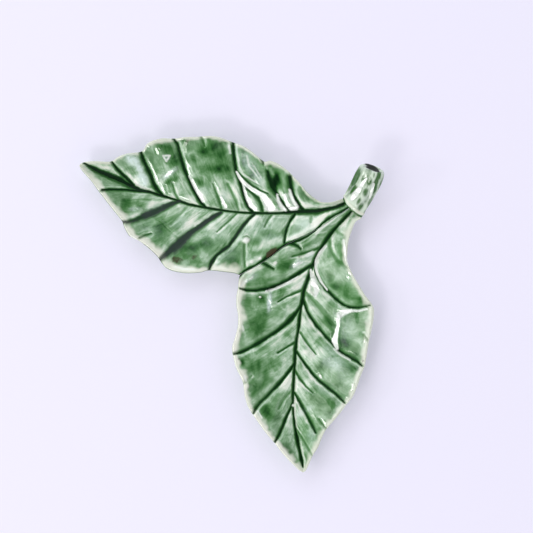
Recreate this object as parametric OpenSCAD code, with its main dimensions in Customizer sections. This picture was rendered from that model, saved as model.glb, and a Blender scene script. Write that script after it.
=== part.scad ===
// A glazed dish in the form of two leaves that grow from one twig.
// Plan view: the left leaf points to -X, the lower leaf to -Y, and the twig rises towards +Y.
// Z is 0 on the table. The origin is the middle of the dish's outline on the table.

/* [Left leaf] */
// Length of the left leaf, from the joint with the twig to its tip
left_leaf_l = 174; // [160:1:186]
// Width of the left leaf, across its widest lobes
left_leaf_w = 88; // [80:1:96]

/* [Lower leaf] */
// Length of the lower leaf, from the joint with the twig to its tip
lower_leaf_l = 170; // [158:1:182]
// Width of the lower leaf, across its widest lobes
lower_leaf_w = 91; // [84:1:98]

/* [Blades] */
// Thickness of the fired clay, measured upright
wall = 4.5; // [3.8:0.1:5.5]
// Height of the highest lobe above the table
rim_h = 16.5; // [15:0.5:20]
// Height of the blades' edges where they meet the twig
base_h = 14; // [12.5:0.5:15.5]
// Height of the two leaf tips
tip_h = 14.5; // [12:0.5:17]
// How far the outer edge is rounded in from the outline
edge_round = 1.3; // [0.8:0.1:1.8]
// Width of the thick lip that runs round each blade
lip_w = 3.2; // [2.4:0.1:4]
// How far the lip stands above the panel beside it
lip_rise = 0.5; // [0.2:0.1:1]

/* [Veins] */
// Width of the groove along each midrib
midrib_w = 3.4; // [2.4:0.1:4.4]
// Depth of the groove along each midrib
midrib_depth = 1.7; // [1:0.1:2.2]
// Width of the groove of a full side vein
vein_w = 3; // [2:0.1:4]
// Depth of the groove of a full side vein
vein_depth = 1.4; // [0.8:0.1:2]
// How far the panels swell between the veins
panel_rise = 0.9; // [0.4:0.1:1.4]

/* [Seam] */
// Length of the seam where the two blades are luted together
seam_l = 83.5; // [78:0.5:89]
// Direction of the seam, from the twig to the fork between the blades
seam_angle = 211.5; // [208:0.5:215]
// Gap between the two blades along the seam
seam_gap = 0.3; // [0.2:0.05:0.4]

/* [Twig] */
// Width of the joint between the twig and the blades
collar_w = 17.8; // [16:0.2:20]
// Direction of the joint's face, across the twig
collar_angle = -46; // [-52:1:-42]
// How far the twig's lip stands proud of the joint
collar_lip = 0.4; // [0.2:0.1:0.8]
// Height of the twig where it meets the blades
stem_base_h = 12; // [10:0.5:14]
// Width of the twig along its middle
stem_w = 18; // [16:0.2:20]
// Width of the twig at its cut end
stem_end_w = 16.2; // [14:0.2:18]
// Length of the twig in plan
stem_run = 28.5; // [24:0.5:33]
// Height of the cut end's centre above the joint's centre
stem_rise = 12.5; // [9:0.5:16]
// Direction from the joint to the cut end, in plan
stem_angle = 63; // [57:1:69]
// Direction in which the cut end faces, in plan
stem_end_angle = 69; // [62:1:76]
// Depth of the hollow in the cut end
end_hollow = 1.2; // [0.6:0.1:2]

/* [Feet] */
// Height of the foot rings
foot_h = 2.5; // [2:0.1:3.5]
// Width of the foot rings, across the leaf
foot_w = 35; // [30:1:37]
// Thickness of the foot rings
foot_wall = 3.6; // [2.8:0.1:4.4]

/* [Hidden] */

// The outlines and veins are written as shares of the blade that carries them. A leaf's own plan has
// "along" running from the joint to the tip and "across" running square to it.

// Midribs: [root share, along, across]. The root share tells how far along the midrib a rib springs.
left_midrib_shares = [
    [0.14, 0.14, -0.030], [0.36, 0.36, -0.036], [0.54, 0.54, 0.000], [0.67, 0.67, 0.068],
    [0.85, 0.85, 0.192], [0.95, 0.95, 0.268], [1, 1, 0.302]
];
lower_midrib_shares = [
    [0.07, 0.07, -0.085], [0.165, 0.165, -0.210], [0.29, 0.29, -0.310], [0.44, 0.44, -0.355],
    [0.64, 0.64, -0.390], [0.80, 0.80, -0.393], [0.925, 0.925, -0.356], [1, 1, -0.335]
];

// Free edges: [root share, along, across, share of the fork's shift that the point follows].
left_upper_edge_shares = [
    [0.050, 0.074, 0.037, 0], [0.085, 0.113, 0.042, 0], [0.130, 0.161, 0.111, 0], [0.155, 0.184, 0.167, 0],
    [0.190, 0.231, 0.265, 0], [0.210, 0.266, 0.316, 0], [0.228, 0.297, 0.339, 0], [0.243, 0.318, 0.331, 0],
    [0.275, 0.361, 0.399, 0], [0.310, 0.396, 0.446, 0], [0.351, 0.436, 0.474, 0], [0.395, 0.479, 0.507, 0],
    [0.430, 0.514, 0.519, 0], [0.465, 0.562, 0.513, 0], [0.500, 0.608, 0.511, 0], [0.531, 0.652, 0.500, 0],
    [0.580, 0.692, 0.502, 0], [0.625, 0.727, 0.486, 0], [0.655, 0.752, 0.458, 0], [0.675, 0.763, 0.418, 0],
    [0.699, 0.779, 0.402, 0], [0.750, 0.821, 0.393, 0], [0.790, 0.854, 0.370, 0], [0.827, 0.880, 0.337, 0],
    [0.865, 0.904, 0.332, 0], [0.915, 0.941, 0.337, 0], [0.960, 0.978, 0.331, 0], [0.985, 0.994, 0.318, 0]
];
left_lower_edge_shares = [
    [0.318, 0.432, -0.482, 1], [0.336, 0.463, -0.474, 0.8], [0.354, 0.521, -0.461, 0.5],
    [0.385, 0.554, -0.476, 0.3], [0.420, 0.605, -0.482, 0.1], [0.445, 0.652, -0.468, 0],
    [0.460, 0.683, -0.441, 0], [0.472, 0.701, -0.395, 0], [0.500, 0.716, -0.353, 0], [0.535, 0.746, -0.297, 0],
    [0.570, 0.781, -0.246, 0], [0.605, 0.817, -0.209, 0], [0.622, 0.835, -0.148, 0], [0.638, 0.843, -0.104, 0],
    [0.665, 0.875, -0.023, 0], [0.700, 0.904, 0.051, 0], [0.738, 0.930, 0.118, 0], [0.810, 0.956, 0.189, 0],
    [0.880, 0.979, 0.240, 0], [0.950, 0.994, 0.277, 0]
];
lower_left_edge_shares = [
    [0.200, 0.275, -0.790, 1], [0.213, 0.304, -0.795, 0.9], [0.250, 0.335, -0.806, 0.6],
    [0.285, 0.374, -0.805, 0.3], [0.320, 0.411, -0.794, 0.1], [0.340, 0.449, -0.796, 0],
    [0.356, 0.491, -0.815, 0], [0.366, 0.526, -0.836, 0], [0.378, 0.557, -0.831, 0], [0.450, 0.607, -0.808, 0],
    [0.500, 0.642, -0.775, 0], [0.530, 0.668, -0.757, 0], [0.560, 0.713, -0.747, 0], [0.575, 0.750, -0.727, 0],
    [0.592, 0.783, -0.690, 0], [0.660, 0.846, -0.607, 0], [0.736, 0.888, -0.540, 0], [0.820, 0.929, -0.482, 0],
    [0.900, 0.963, -0.421, 0], [0.970, 0.993, -0.362, 0]
];
lower_right_edge_shares = [
    [0.030, 0.056, 0.036, 0], [0.060, 0.086, 0.011, 0], [0.090, 0.127, -0.013, 0], [0.115, 0.162, -0.021, 0],
    [0.130, 0.200, -0.022, 0], [0.143, 0.231, -0.004, 0], [0.155, 0.263, 0.026, 0], [0.170, 0.298, 0.063, 0],
    [0.185, 0.330, 0.099, 0], [0.200, 0.360, 0.143, 0], [0.215, 0.382, 0.165, 0], [0.260, 0.428, 0.160, 0],
    [0.295, 0.470, 0.144, 0], [0.325, 0.513, 0.127, 0], [0.345, 0.556, 0.115, 0], [0.362, 0.600, 0.099, 0],
    [0.420, 0.639, 0.070, 0], [0.470, 0.682, 0.042, 0], [0.510, 0.717, 0.014, 0], [0.540, 0.747, -0.032, 0],
    [0.585, 0.768, -0.060, 0], [0.630, 0.805, -0.118, 0], [0.655, 0.834, -0.165, 0], [0.672, 0.852, -0.187, 0],
    [0.694, 0.878, -0.209, 0], [0.740, 0.903, -0.227, 0], [0.819, 0.937, -0.266, 0], [0.890, 0.963, -0.288, 0],
    [0.960, 0.992, -0.314, 0]
];

// Where the fork between the blades lies, as along and across shares of each leaf.
left_fork_shares = [0.4115, -0.4958];
lower_fork_shares = [0.2566, -0.7824];
// Where ribs end on the seam: [root share, share of the seam's length].
left_seam_shares = [[0, 0], [0.10, 0.27], [0.199, 0.60], [0.25, 0.80], [0.30, 1]];
lower_seam_shares = [[0, 0], [0.07, 0.35], [0.14, 0.70], [0.19, 1]];
// The seam's wander: [share of its length, sideways share of its length].
seam_wander_shares = [[0, 0], [0.33, 0.009], [0.57, -0.012], [0.78, 0.007], [1, 0]];

// How far a rib bows towards the tip: [root share, share of the rib's length].
left_upper_bow_shares = [[0, 0], [0.18, 0.07], [0.35, 0.056], [0.53, 0.037], [0.70, 0], [1, 0]];
left_lower_bow_shares = [[0, 0], [0.20, 0.08], [0.354, 0], [0.472, 0.01], [0.636, -0.03], [0.74, 0.02], [1, 0]];
lower_left_bow_shares = [[0, 0], [0.14, 0.03], [0.213, 0.115], [0.376, 0.07], [0.59, 0.01], [1, 0]];
lower_right_bow_shares = [
    [0, 0], [0.143, 0.1], [0.215, 0.21], [0.355, 0.085], [0.54, 0.03], [0.694, 0], [1, 0]
];

// Rim heights between the base and the tip: [root share, share of the highest lobe].
left_upper_rim_shares = [
    [0.08, 0.86], [0.18, 0.90], [0.235, 0.92], [0.29, 1], [0.35, 0.94], [0.44, 1], [0.53, 0.92], [0.61, 0.98],
    [0.70, 0.88], [0.76, 0.94], [0.83, 0.86], [0.92, 0.88]
];
left_lower_rim_shares = [
    [0.08, 0.78], [0.18, 0.72], [0.30, 0.74], [0.354, 0.72], [0.42, 0.80], [0.472, 0.74], [0.55, 0.82],
    [0.636, 0.76], [0.69, 0.82], [0.74, 0.80], [0.88, 0.86]
];
lower_left_rim_shares = [
    [0.06, 0.78], [0.12, 0.72], [0.19, 0.74], [0.215, 0.78], [0.29, 0.88], [0.37, 0.82], [0.48, 0.90],
    [0.59, 0.82], [0.66, 0.88], [0.736, 0.82], [0.88, 0.86]
];
lower_right_rim_shares = [
    [0.06, 0.82], [0.13, 0.82], [0.18, 0.96], [0.215, 0.90], [0.30, 1], [0.36, 0.90], [0.46, 0.96],
    [0.54, 0.86], [0.62, 0.92], [0.694, 0.84], [0.76, 0.88], [0.819, 0.84], [0.92, 0.88]
];

// Side veins: [root share, reach from, reach to, share of the full depth, share of the full width].
left_upper_vein_shares = [
    [0.185, 0, 0.78, 1, 1], [0.225, 0, 0.74, 1, 1], [0.319, 0, 0.45, 0.5, 0.8], [0.351, 0, 0.97, 1, 1.1],
    [0.413, 0, 0.45, 0.4, 0.9], [0.465, 0, 0.42, 0.4, 0.9], [0.531, 0, 0.97, 1, 1], [0.650, 0, 0.3, 0.35, 0.8],
    [0.699, 0, 0.95, 1, 1.2], [0.827, 0, 0.92, 0.8, 1]
];
left_lower_vein_shares = [
    [0.142, 0, 0.4, 0.4, 0.8], [0.199, 0, 0.96, 0.8, 0.9], [0.291, 0, 0.3, 0.4, 0.8], [0.354, 0, 0.98, 0.9, 1],
    [0.423, 0, 0.36, 0.4, 0.8], [0.472, 0, 0.98, 1, 1.3], [0.568, 0, 0.4, 0.3, 1.2], [0.636, 0, 0.96, 1, 1.4],
    [0.738, 0, 0.93, 0.8, 0.8]
];
lower_left_vein_shares = [
    [0.140, 0, 0.48, 0.6, 1.2], [0.213, 0, 0.94, 1, 1.1], [0.313, 0, 0.42, 0.5, 0.9], [0.376, 0, 0.97, 1, 1],
    [0.506, 0, 0.36, 0.6, 0.8], [0.590, 0, 0.96, 1, 1], [0.683, 0, 0.46, 0.5, 1.1], [0.736, 0, 0.97, 1, 0.9]
];
lower_right_vein_shares = [
    [0.143, 0, 0.95, 0.8, 1.2], [0.215, 0, 0.96, 1, 1.5], [0.300, 0, 0.45, 0.5, 1.2], [0.355, 0, 0.96, 1, 1.1],
    [0.464, 0, 0.4, 0.5, 0.8], [0.540, 0, 0.96, 1, 1.1], [0.623, 0, 0.42, 0.5, 0.8], [0.694, 0, 0.72, 1, 1.2],
    [0.819, 0, 0.96, 0.6, 0.8]
];
// A vein fades over this share of its rib at either end.
vein_fade_share = 0.06;
// A panel falls towards a groove over this many widths of the groove.
panel_fall_share = 3;

// How high the midrib stands between the base and the tip: [root share, share of the base's or tip's lift].
keel_base_shares = [[0, 1], [0.05, 0.84], [0.12, 0.36], [0.2, 0.04], [0.25, 0], [1, 0]];
keel_tip_shares = [[0, 0], [0.8, 0], [0.88, 0.14], [0.95, 0.5], [1, 1]];
// The blade's underside is flat out to this share of each rib.
flat_share = 0.5;
// The power that the hollow of the blade follows, from midrib to rim.
bowl_power = 1.7;

// Where the blades' midribs and the seam meet the joint's face, as shares of its width.
left_root_share = 0.20;
seam_root_share = 0.43;
lower_root_share = 0.62;
// How high the midrib groove's shoulders stand at the joint, as a share of the blades' edges there.
base_channel_share = 0.88;

// Rows of points across half a blade, as shares of the way from the midrib's groove to the lip.
top_row_shares = [0.12, 0.26, 0.40, 0.54, 0.68, 0.82];
under_row_shares = [0.84, 0.67, flat_share, 0.25];
// A short rib keeps its groove, lip and rounding under these shares of its length.
short_groove_share = 0.2;
short_lip_share = 0.3;
short_round_share = 0.14;
// Columns of points from the joint to the tip, and the last few, where the tip rounds off.
columns = 104;
tip_start_share = 0.975;
tip_round_shares = [[0, 1], [0.35, 0.93], [0.65, 0.76], [0.88, 0.47]];
// How much of the full slope a curve through a table's points keeps at each point.
ease_share = 0.8;

// Rings of the twig: [share of its run, share of the middle's width, share of the turn to the cut end].
stem_ring_shares = [
    [0.04, 1, 0], [0.12, 0.98, 0.2], [0.25, 0.99, 0.5], [0.4, 1, 0.7], [0.55, 1, 0.82], [0.7, 0.98, 0.9],
    [0.84, 0.96, 0.96], [0.94, 0.94, 0.99]
];
stem_sides = 28;
// Flutes run along the twig. Each is this share of its half width deep.
stem_flutes = 7;
flute_depth_share = 0.018;
// The twig has its full width, and its flutes their full depth, this share of its run from the joint.
stem_widen_share = 0.25;
// Its section grows from flat to round over this share of its run.
stem_round_share = 0.5;
// Upright thickness of the twig, as a share of its width, at the joint and at its end.
stem_base_depth_share = 0.6;
stem_end_depth_share = 0.96;
// How steeply the twig climbs at its cut end, in degrees. It leaves the joint level.
stem_end_tilt = 20;
// How far the twig's path swings to the outside of a straight line, as a share of its run.
stem_swing_share = 0.04;
// Width that the rounding takes off the cut end, and the share of its width that the hollow floor keeps.
end_bevel = 1.4;
end_lip_share = 0.62;

// Where the foot rings start and end along the midribs.
left_foot_shares = [0.27, 0.76];
lower_foot_shares = [0.29, 0.78];
// Points round a foot ring.
foot_points = 72;

floor_z = foot_h + wall;
// Step along a table's key for measuring a direction or a distance.
step_share = 0.002;

// Row of a table that a key falls in
function row_of(key, rows) = max(0, min(len(rows) - 2, len([for (row = rows) if (row[0] <= key) 1]) - 1));
// Slope of a smooth curve at one row of a table
function slope(rows, i) =
    let (low = max(0, i - 1), high = min(len(rows) - 1, i + 1))
    ease_share * (rows[high] - rows[low]) / (rows[high][0] - rows[low][0]);
// Row of values at a key, on a smooth curve through the rows of a table
function eased(key, rows) =
    let (
        i = row_of(key, rows),
        span = rows[i + 1][0] - rows[i][0],
        u = (key - rows[i][0]) / span
    )
    rows[i] * (2 * pow(u, 3) - 3 * pow(u, 2) + 1) + rows[i + 1] * (3 * pow(u, 2) - 2 * pow(u, 3))
    + span * (slope(rows, i) * (pow(u, 3) - 2 * pow(u, 2) + u) + slope(rows, i + 1) * (pow(u, 3) - pow(u, 2)));
function mix(a, b, share) = a + (b - a) * share;
function plan_unit(angle) = [cos(angle), sin(angle)];

// Plan of the dish, measured from where the seam meets the joint's face.
collar_start = -seam_root_share * collar_w * plan_unit(collar_angle);
function collar_at(share) = collar_start + share * collar_w * plan_unit(collar_angle);
function seam_at(share) =
    let (wander = eased(share, seam_wander_shares)[1])
    seam_l * (share * plan_unit(seam_angle) + wander * plan_unit(seam_angle + 90));
// A blade's side of the seam: 1 for the left leaf, -1 for the lower leaf
function seam_side(share, turn) = seam_at(share) + turn * seam_gap / 2 * plan_unit(seam_angle - 90);

// Left leaf: along runs to -X and across to +Y. Lower leaf: along runs to -Y and across to +X.
function left_plan(along, across) = [-along, across];
function lower_plan(along, across) = [across, -along];

// Rows of a free edge in plan, shifted with the fork where they lie close to it
function left_edge(shares, shift) = [
    for (row = shares)
        concat([row[0]], left_plan(row[1] * left_leaf_l, row[2] * left_leaf_w) + row[3] * shift)
];
function lower_edge(shares, shift) = [
    for (row = shares)
        concat([row[0]], lower_plan(row[1] * lower_leaf_l, row[2] * lower_leaf_w) + row[3] * shift)
];
function corner_edge(share) = [concat([0], collar_at(share))];

// The fork's place as the free edges expect it, and how far the seam's real end lies from that.
left_fork = left_plan(left_fork_shares[0] * left_leaf_l, left_fork_shares[1] * left_leaf_w);
lower_fork = lower_plan(lower_fork_shares[0] * lower_leaf_l, lower_fork_shares[1] * lower_leaf_w);
left_tip = left_plan(left_leaf_l, last(left_midrib_shares)[2] * left_leaf_w);
lower_tip = lower_plan(lower_leaf_l, last(lower_midrib_shares)[2] * lower_leaf_w);
function last(rows) = rows[len(rows) - 1];

left_midrib = concat(corner_edge(left_root_share), [
    for (row = left_midrib_shares) concat([row[0]], left_plan(row[1] * left_leaf_l, row[2] * left_leaf_w))
]);
lower_midrib = concat(corner_edge(lower_root_share), [
    for (row = lower_midrib_shares) concat([row[0]], lower_plan(row[1] * lower_leaf_l, row[2] * lower_leaf_w))
]);
left_upper = concat(corner_edge(0), left_edge(left_upper_edge_shares, [0, 0]), [concat([1], left_tip)]);
left_lower = concat(
    [concat([last(left_seam_shares)[0]], seam_side(1, 1))],
    left_edge(left_lower_edge_shares, seam_at(1) - left_fork), [concat([1], left_tip)]
);
lower_left = concat(
    [concat([last(lower_seam_shares)[0]], seam_side(1, -1))],
    lower_edge(lower_left_edge_shares, seam_at(1) - lower_fork), [concat([1], lower_tip)]
);
lower_right = concat(corner_edge(1), lower_edge(lower_right_edge_shares, [0, 0]), [concat([1], lower_tip)]);

function rim_rows(shares) = concat([[0, base_h]], [for (row = shares) [row[0], row[1] * rim_h]], [[1, tip_h]]);
// A side is [edge, rim heights, bow, side veins, direction that its bow turns, where its ribs end on the seam].
left_upper_side = [
    left_upper, rim_rows(left_upper_rim_shares), left_upper_bow_shares, left_upper_vein_shares, -1, []
];
left_lower_side = [
    left_lower, rim_rows(left_lower_rim_shares), left_lower_bow_shares, left_lower_vein_shares,
    1, left_seam_shares
];
lower_left_side = [
    lower_left, rim_rows(lower_left_rim_shares), lower_left_bow_shares, lower_left_vein_shares,
    -1, lower_seam_shares
];
lower_right_side = [
    lower_right, rim_rows(lower_right_rim_shares), lower_right_bow_shares, lower_right_vein_shares, 1, []
];
// Share of the midrib up to which a side's ribs end on the seam
function seam_end(side) = len(side[5]) > 0 ? last(side[5])[0] : -1;
// Where a rib ends: on its side of the seam, or on the free edge
function rib_end(side, s) =
    s <= seam_end(side)
    ? seam_side(eased(s, side[5])[1], side[4])
    : let (row = eased(s, side[0])) [row[1], row[2]];

// Height of the midrib's top before its groove
function keel_z(s) =
    floor_z + (base_channel_share * base_h - floor_z) * max(0, eased(s, keel_base_shares)[1])
    + (tip_h - floor_z) * max(0, eased(s, keel_tip_shares)[1]);

// A rib is [root, bowed middle, end, length, rim height, keel height], at one share along the midrib.
function rib_at(midrib, side, s) =
    let (
        root_row = eased(s, midrib),
        root = [root_row[1], root_row[2]],
        end = rib_end(side, s),
        run = end - root,
        bow = 2 * side[4] * eased(s, side[2])[1]
    )
    [root, (root + end) / 2 + bow * [run[1], -run[0]], end, norm(run), eased(s, side[1])[1], keel_z(s)];
// Plan point on a rib, at a share of its reach
function on_rib(rib, t) = pow(1 - t, 2) * rib[0] + 2 * t * (1 - t) * rib[1] + pow(t, 2) * rib[2];
// Plan distance between two ribs at a share of their reach, square to the ribs
function rib_spacing(rib, next, t) =
    let (
        here = on_rib(rib, t),
        away = on_rib(next, t) - here,
        forward = on_rib(rib, t + step_share) - on_rib(rib, t - step_share)
    )
    norm(forward) > 0 ? abs(away[0] * forward[1] - away[1] * forward[0]) / norm(forward) : 0;

// How far the top falls at a groove, at a number of half widths from its middle
function groove_profile(depth, off) =
    depth * exp(-pow(off, 2)) + panel_rise * exp(-pow(off / panel_fall_share, 2));
// Strength of a vein at a share of its rib's reach
function vein_reach(vein, t) =
    max(0, min(1, (t - vein[1]) / vein_fade_share + 1)) * max(0, min(1, (vein[2] - t) / vein_fade_share + 1));
// How deep the side veins cut at a point, and how far the panels fall towards them
function vein_cut(side, s, t, spacing) = max([
    for (vein = side[3])
        let (off = abs(s - vein[0]) / step_share * spacing / (vein_w / 2 * vein[4]))
        vein_reach(vein, t) * vein[3] * groove_profile(vein_depth, off)
]);
function midrib_cut(distance, fade) = fade * groove_profile(midrib_depth, distance / (midrib_w / 2));

// Heights of the top and the underside at a share of a rib's reach
function hollow_z(rib, t) = rib[5] + (rib[4] - rib[5]) * pow(t, bowl_power);
function under_z(rib, t) =
    rib[5] - wall + (rib[4] - rib[5]) * pow(max(0, t - flat_share) / (1 - flat_share), bowl_power);
function tip_fade(s) = max(0, min(1, (1 - s) / (1 - tip_start_share) - 1));
function top_z(rib, next, side, s, t) =
    let (
        from_edge = (1 - t) * rib[3],
        cut = max(vein_cut(side, s, t, rib_spacing(rib, next, t)), midrib_cut(t * rib[3], tip_fade(s)))
    )
    hollow_z(rib, t) + tip_fade(s) * (panel_rise * min(1, t * rib[3] / lip_w) - cut)
    + lip_rise * exp(-pow(from_edge / lip_w, 2));

// Points of half a section, from the midrib's groove out over the edge. The section closes on the underside.
function half_top(rib, next, side, s) =
    let (
        length = max(rib[3], edge_round / 2),
        groove = min(midrib_w / 2 / length, short_groove_share),
        lip = 1 - min(lip_w / length, short_lip_share),
        brow = 1 - min(edge_round / length, short_round_share)
    )
    concat(
        [for (t = concat([groove], [for (share = top_row_shares) mix(groove, lip, share)], [lip, brow]))
            concat(on_rib(rib, t), [top_z(rib, next, side, s, t)])],
        [concat(rib[2], [top_z(rib, next, side, s, 1) - wall / 2])]
    );
function half_under(rib, side, s) =
    let (
        length = max(rib[3], edge_round / 2),
        brow = s <= seam_end(side) ? 1 : 1 - min(edge_round / length, short_round_share)
    )
    [for (t = concat([brow], under_row_shares)) concat(on_rib(rib, t), [under_z(rib, t)])];
function reversed(list) = [for (i = [len(list) - 1:-1:0]) list[i]];
function section(midrib, far, near, s) =
    let (
        next_s = s + (s < 0.5 ? step_share : -step_share),
        far_rib = rib_at(midrib, far, s),
        near_rib = rib_at(midrib, near, s),
        far_next = rib_at(midrib, far, next_s),
        near_next = rib_at(midrib, near, next_s),
        root = far_rib[0],
        groove_z = keel_z(s) - midrib_cut(0, tip_fade(s))
    )
    concat(
        reversed(half_top(near_rib, near_next, near, s)), [concat(root, [groove_z])],
        half_top(far_rib, far_next, far, s), half_under(far_rib, far, s), [concat(root, [keel_z(s) - wall])],
        reversed(half_under(near_rib, near, s))
    );
function centre_of(points) = [
    for (axis = [0:2])
        let (places = [for (p = points) p[axis]])
        (max(places) + min(places)) / 2
];
function shrunk(points, share) = let (centre = centre_of(points)) [for (p = points) mix(centre, p, share)];

// Faces of a tube of equal rings, closed by a flat face at its start and a point at its end
function tube_faces(rings, size, inside_out) =
    let (
        apex = rings * size,
        skin = [
            for (i = [0:rings - 2], j = [0:size - 1])
                let (a = i * size + j, b = i * size + (j + 1) % size)
                each [[a, b, b + size], [a, b + size, a + size]]
        ],
        nose = [for (j = [0:size - 1]) [(rings - 1) * size + j, (rings - 1) * size + (j + 1) % size, apex]],
        heel = [[for (j = [size - 1:-1:0]) j]],
        faces = concat(skin, nose, heel)
    )
    inside_out ? [for (face = faces) reversed(face)] : faces;

module blade(midrib, far, near, tip, inside_out) {
    body = [for (i = [0:columns - 1]) section(midrib, far, near, tip_start_share * i / (columns - 1))];
    nose = [
        for (row = tip_round_shares)
            let (s = mix(tip_start_share, 1, row[0]))
            shrunk(section(midrib, far, near, min(s, 1 - step_share)), row[1])
    ];
    rings = concat(body, [for (i = [1:len(nose) - 1]) nose[i]]);
    polyhedron(
        points = concat([for (ring = rings) each ring], [concat(tip, [tip_h - wall / 2])]),
        faces = tube_faces(len(rings), len(rings[0]), inside_out),
        convexity = 10
    );
}

// The twig: rings of points whose first one lies in the joint's face.
collar_middle = collar_at(0.5);
stem_end_turn = stem_end_angle - 90 - collar_angle;
stem_end_climb = stem_run * tan(stem_end_tilt);
function stem_plan(q) =
    stem_run * (q * plan_unit(stem_angle) + stem_swing_share * sin(180 * q) * plan_unit(stem_angle - 90));
function stem_z(q) =
    stem_base_h + stem_rise * (3 * pow(q, 2) - 2 * pow(q, 3)) + stem_end_climb * (pow(q, 3) - pow(q, 2));
function stem_centre(q) = concat(collar_middle + stem_plan(q), [stem_z(q)]);
function stem_tilt(q) =
    atan2(stem_rise * 6 * (q - pow(q, 2)) + stem_end_climb * (3 * pow(q, 2) - 2 * q), stem_run);
function stem_ring(q, width, turn, sink) =
    let (
        across = plan_unit(collar_angle + turn * stem_end_turn),
        ahead = [-across[1], across[0]],
        tilt = stem_tilt(q),
        depth = width * mix(stem_base_depth_share, stem_end_depth_share, min(1, q / stem_round_share)),
        centre = stem_centre(q) - sink * concat(cos(tilt) * ahead, [sin(tilt)])
    )
    [
        for (i = [0:stem_sides - 1])
            let (
                angle = 360 * i / stem_sides,
                flute = flute_depth_share * min(1, q / stem_widen_share) * (1 - q) * (1 + cos(stem_flutes * angle)),
                swell = 1 - flute,
                side = swell * width / 2 * cos(angle),
                up = swell * depth / 2 * sin(angle)
            )
            centre + concat(side * across - up * sin(tilt) * ahead, [up * cos(tilt)])
    ];
stem_rings = concat(
    [stem_ring(0, collar_w + 2 * collar_lip, 0, 0)],
    [
        for (row = stem_ring_shares)
            let (full_w = mix(collar_w, stem_w, min(1, row[0] / stem_widen_share)))
            stem_ring(row[0], row[1] * full_w, row[2], 0)
    ],
    [stem_ring(1, stem_end_w, 1, end_bevel / 2), stem_ring(1, stem_end_w - end_bevel, 1, 0)],
    [stem_ring(1, stem_end_w * end_lip_share, 1, end_hollow)]
);
stem_end_way = concat(cos(stem_end_tilt) * plan_unit(stem_end_angle), [sin(stem_end_tilt)]);
stem_apex = stem_centre(1) - end_hollow * stem_end_way;
stem_points = concat([for (ring = stem_rings) each ring], [stem_apex]);

// The whole outline's middle comes to the origin.
top_edge = [for (row = left_upper) row[2]];
right_edge = concat([for (row = lower_right) row[1]], [for (point = stem_points) point[0]]);
origin_shift = -[left_tip[0] + max(right_edge), lower_tip[1] + max(top_edge)] / 2;

// A foot ring under the flat part of a blade: an ellipse along the midrib
module foot(midrib, shares) {
    ends = [for (s = shares) let (row = eased(s, midrib)) [row[1], row[2]]];
    long = (ends[1] - ends[0]) / 2;
    square_to_long = [-long[1], long[0]] / norm(long);
    function outline(inset) = [
        for (i = [0:foot_points - 1])
            let (turn = 360 * i / foot_points)
            (ends[0] + ends[1]) / 2 + (1 - inset / norm(long)) * cos(turn) * long
            + (foot_w / 2 - inset) * sin(turn) * square_to_long
    ];
    linear_extrude(foot_h) difference() {
        polygon(outline(0));
        polygon(outline(foot_wall));
    }
}

module left_leaf() {
    color("seagreen") translate(concat(origin_shift, [0]))
        blade(left_midrib, left_upper_side, left_lower_side, left_tip, true);
}

module lower_leaf() {
    color("mediumseagreen") translate(concat(origin_shift, [0]))
        blade(lower_midrib, lower_right_side, lower_left_side, lower_tip, false);
}

module stem_handle() {
    color("darkseagreen") translate(concat(origin_shift, [0]))
        polyhedron(points = stem_points, faces = tube_faces(len(stem_rings), stem_sides, false), convexity = 4);
}

module left_foot() {
    color("antiquewhite") translate(concat(origin_shift, [0]))
        foot(left_midrib, left_foot_shares);
}

module lower_foot() {
    color("antiquewhite") translate(concat(origin_shift, [0]))
        foot(lower_midrib, lower_foot_shares);
}

left_leaf();
lower_leaf();
stem_handle();
left_foot();
lower_foot();
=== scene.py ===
"""Looks of a glazed dish: two leaves luted together along a seam, growing from one twig.

The plan of the dish is written in drawing units: DRAWING_UNIT metres each at the height of the rims, x to
the right and y down, as the dish is seen from straight above by an eye EYE_HEIGHT metres over the table.
WINDOW and SIDE_WINDOW are the middles of the two windows that the glaze mirrors, in metres. HAIR is a length
too small to see, under which points count as one.
"""

import logging
import math
from dataclasses import dataclass, field
from enum import Enum, IntEnum
from typing import Callable, Iterable, Sequence

import bmesh
import bpy
import numpy as np
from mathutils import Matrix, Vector, noise


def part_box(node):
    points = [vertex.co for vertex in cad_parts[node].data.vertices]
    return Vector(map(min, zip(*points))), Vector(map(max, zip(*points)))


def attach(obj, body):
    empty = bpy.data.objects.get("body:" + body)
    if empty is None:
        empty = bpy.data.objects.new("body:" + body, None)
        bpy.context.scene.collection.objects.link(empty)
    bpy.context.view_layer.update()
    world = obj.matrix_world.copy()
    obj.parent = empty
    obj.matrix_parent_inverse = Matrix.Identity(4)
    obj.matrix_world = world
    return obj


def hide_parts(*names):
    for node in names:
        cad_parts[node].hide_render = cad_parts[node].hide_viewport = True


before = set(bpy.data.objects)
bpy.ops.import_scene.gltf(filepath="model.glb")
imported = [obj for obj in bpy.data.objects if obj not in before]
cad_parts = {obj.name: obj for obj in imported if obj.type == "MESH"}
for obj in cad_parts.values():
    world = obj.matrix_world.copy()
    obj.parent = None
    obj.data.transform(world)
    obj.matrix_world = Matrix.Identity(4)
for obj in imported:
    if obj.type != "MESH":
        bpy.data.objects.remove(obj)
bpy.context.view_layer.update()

logging.basicConfig(level=logging.INFO, format="%(message)s")
log = logging.getLogger("leaf_dish")

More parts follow.
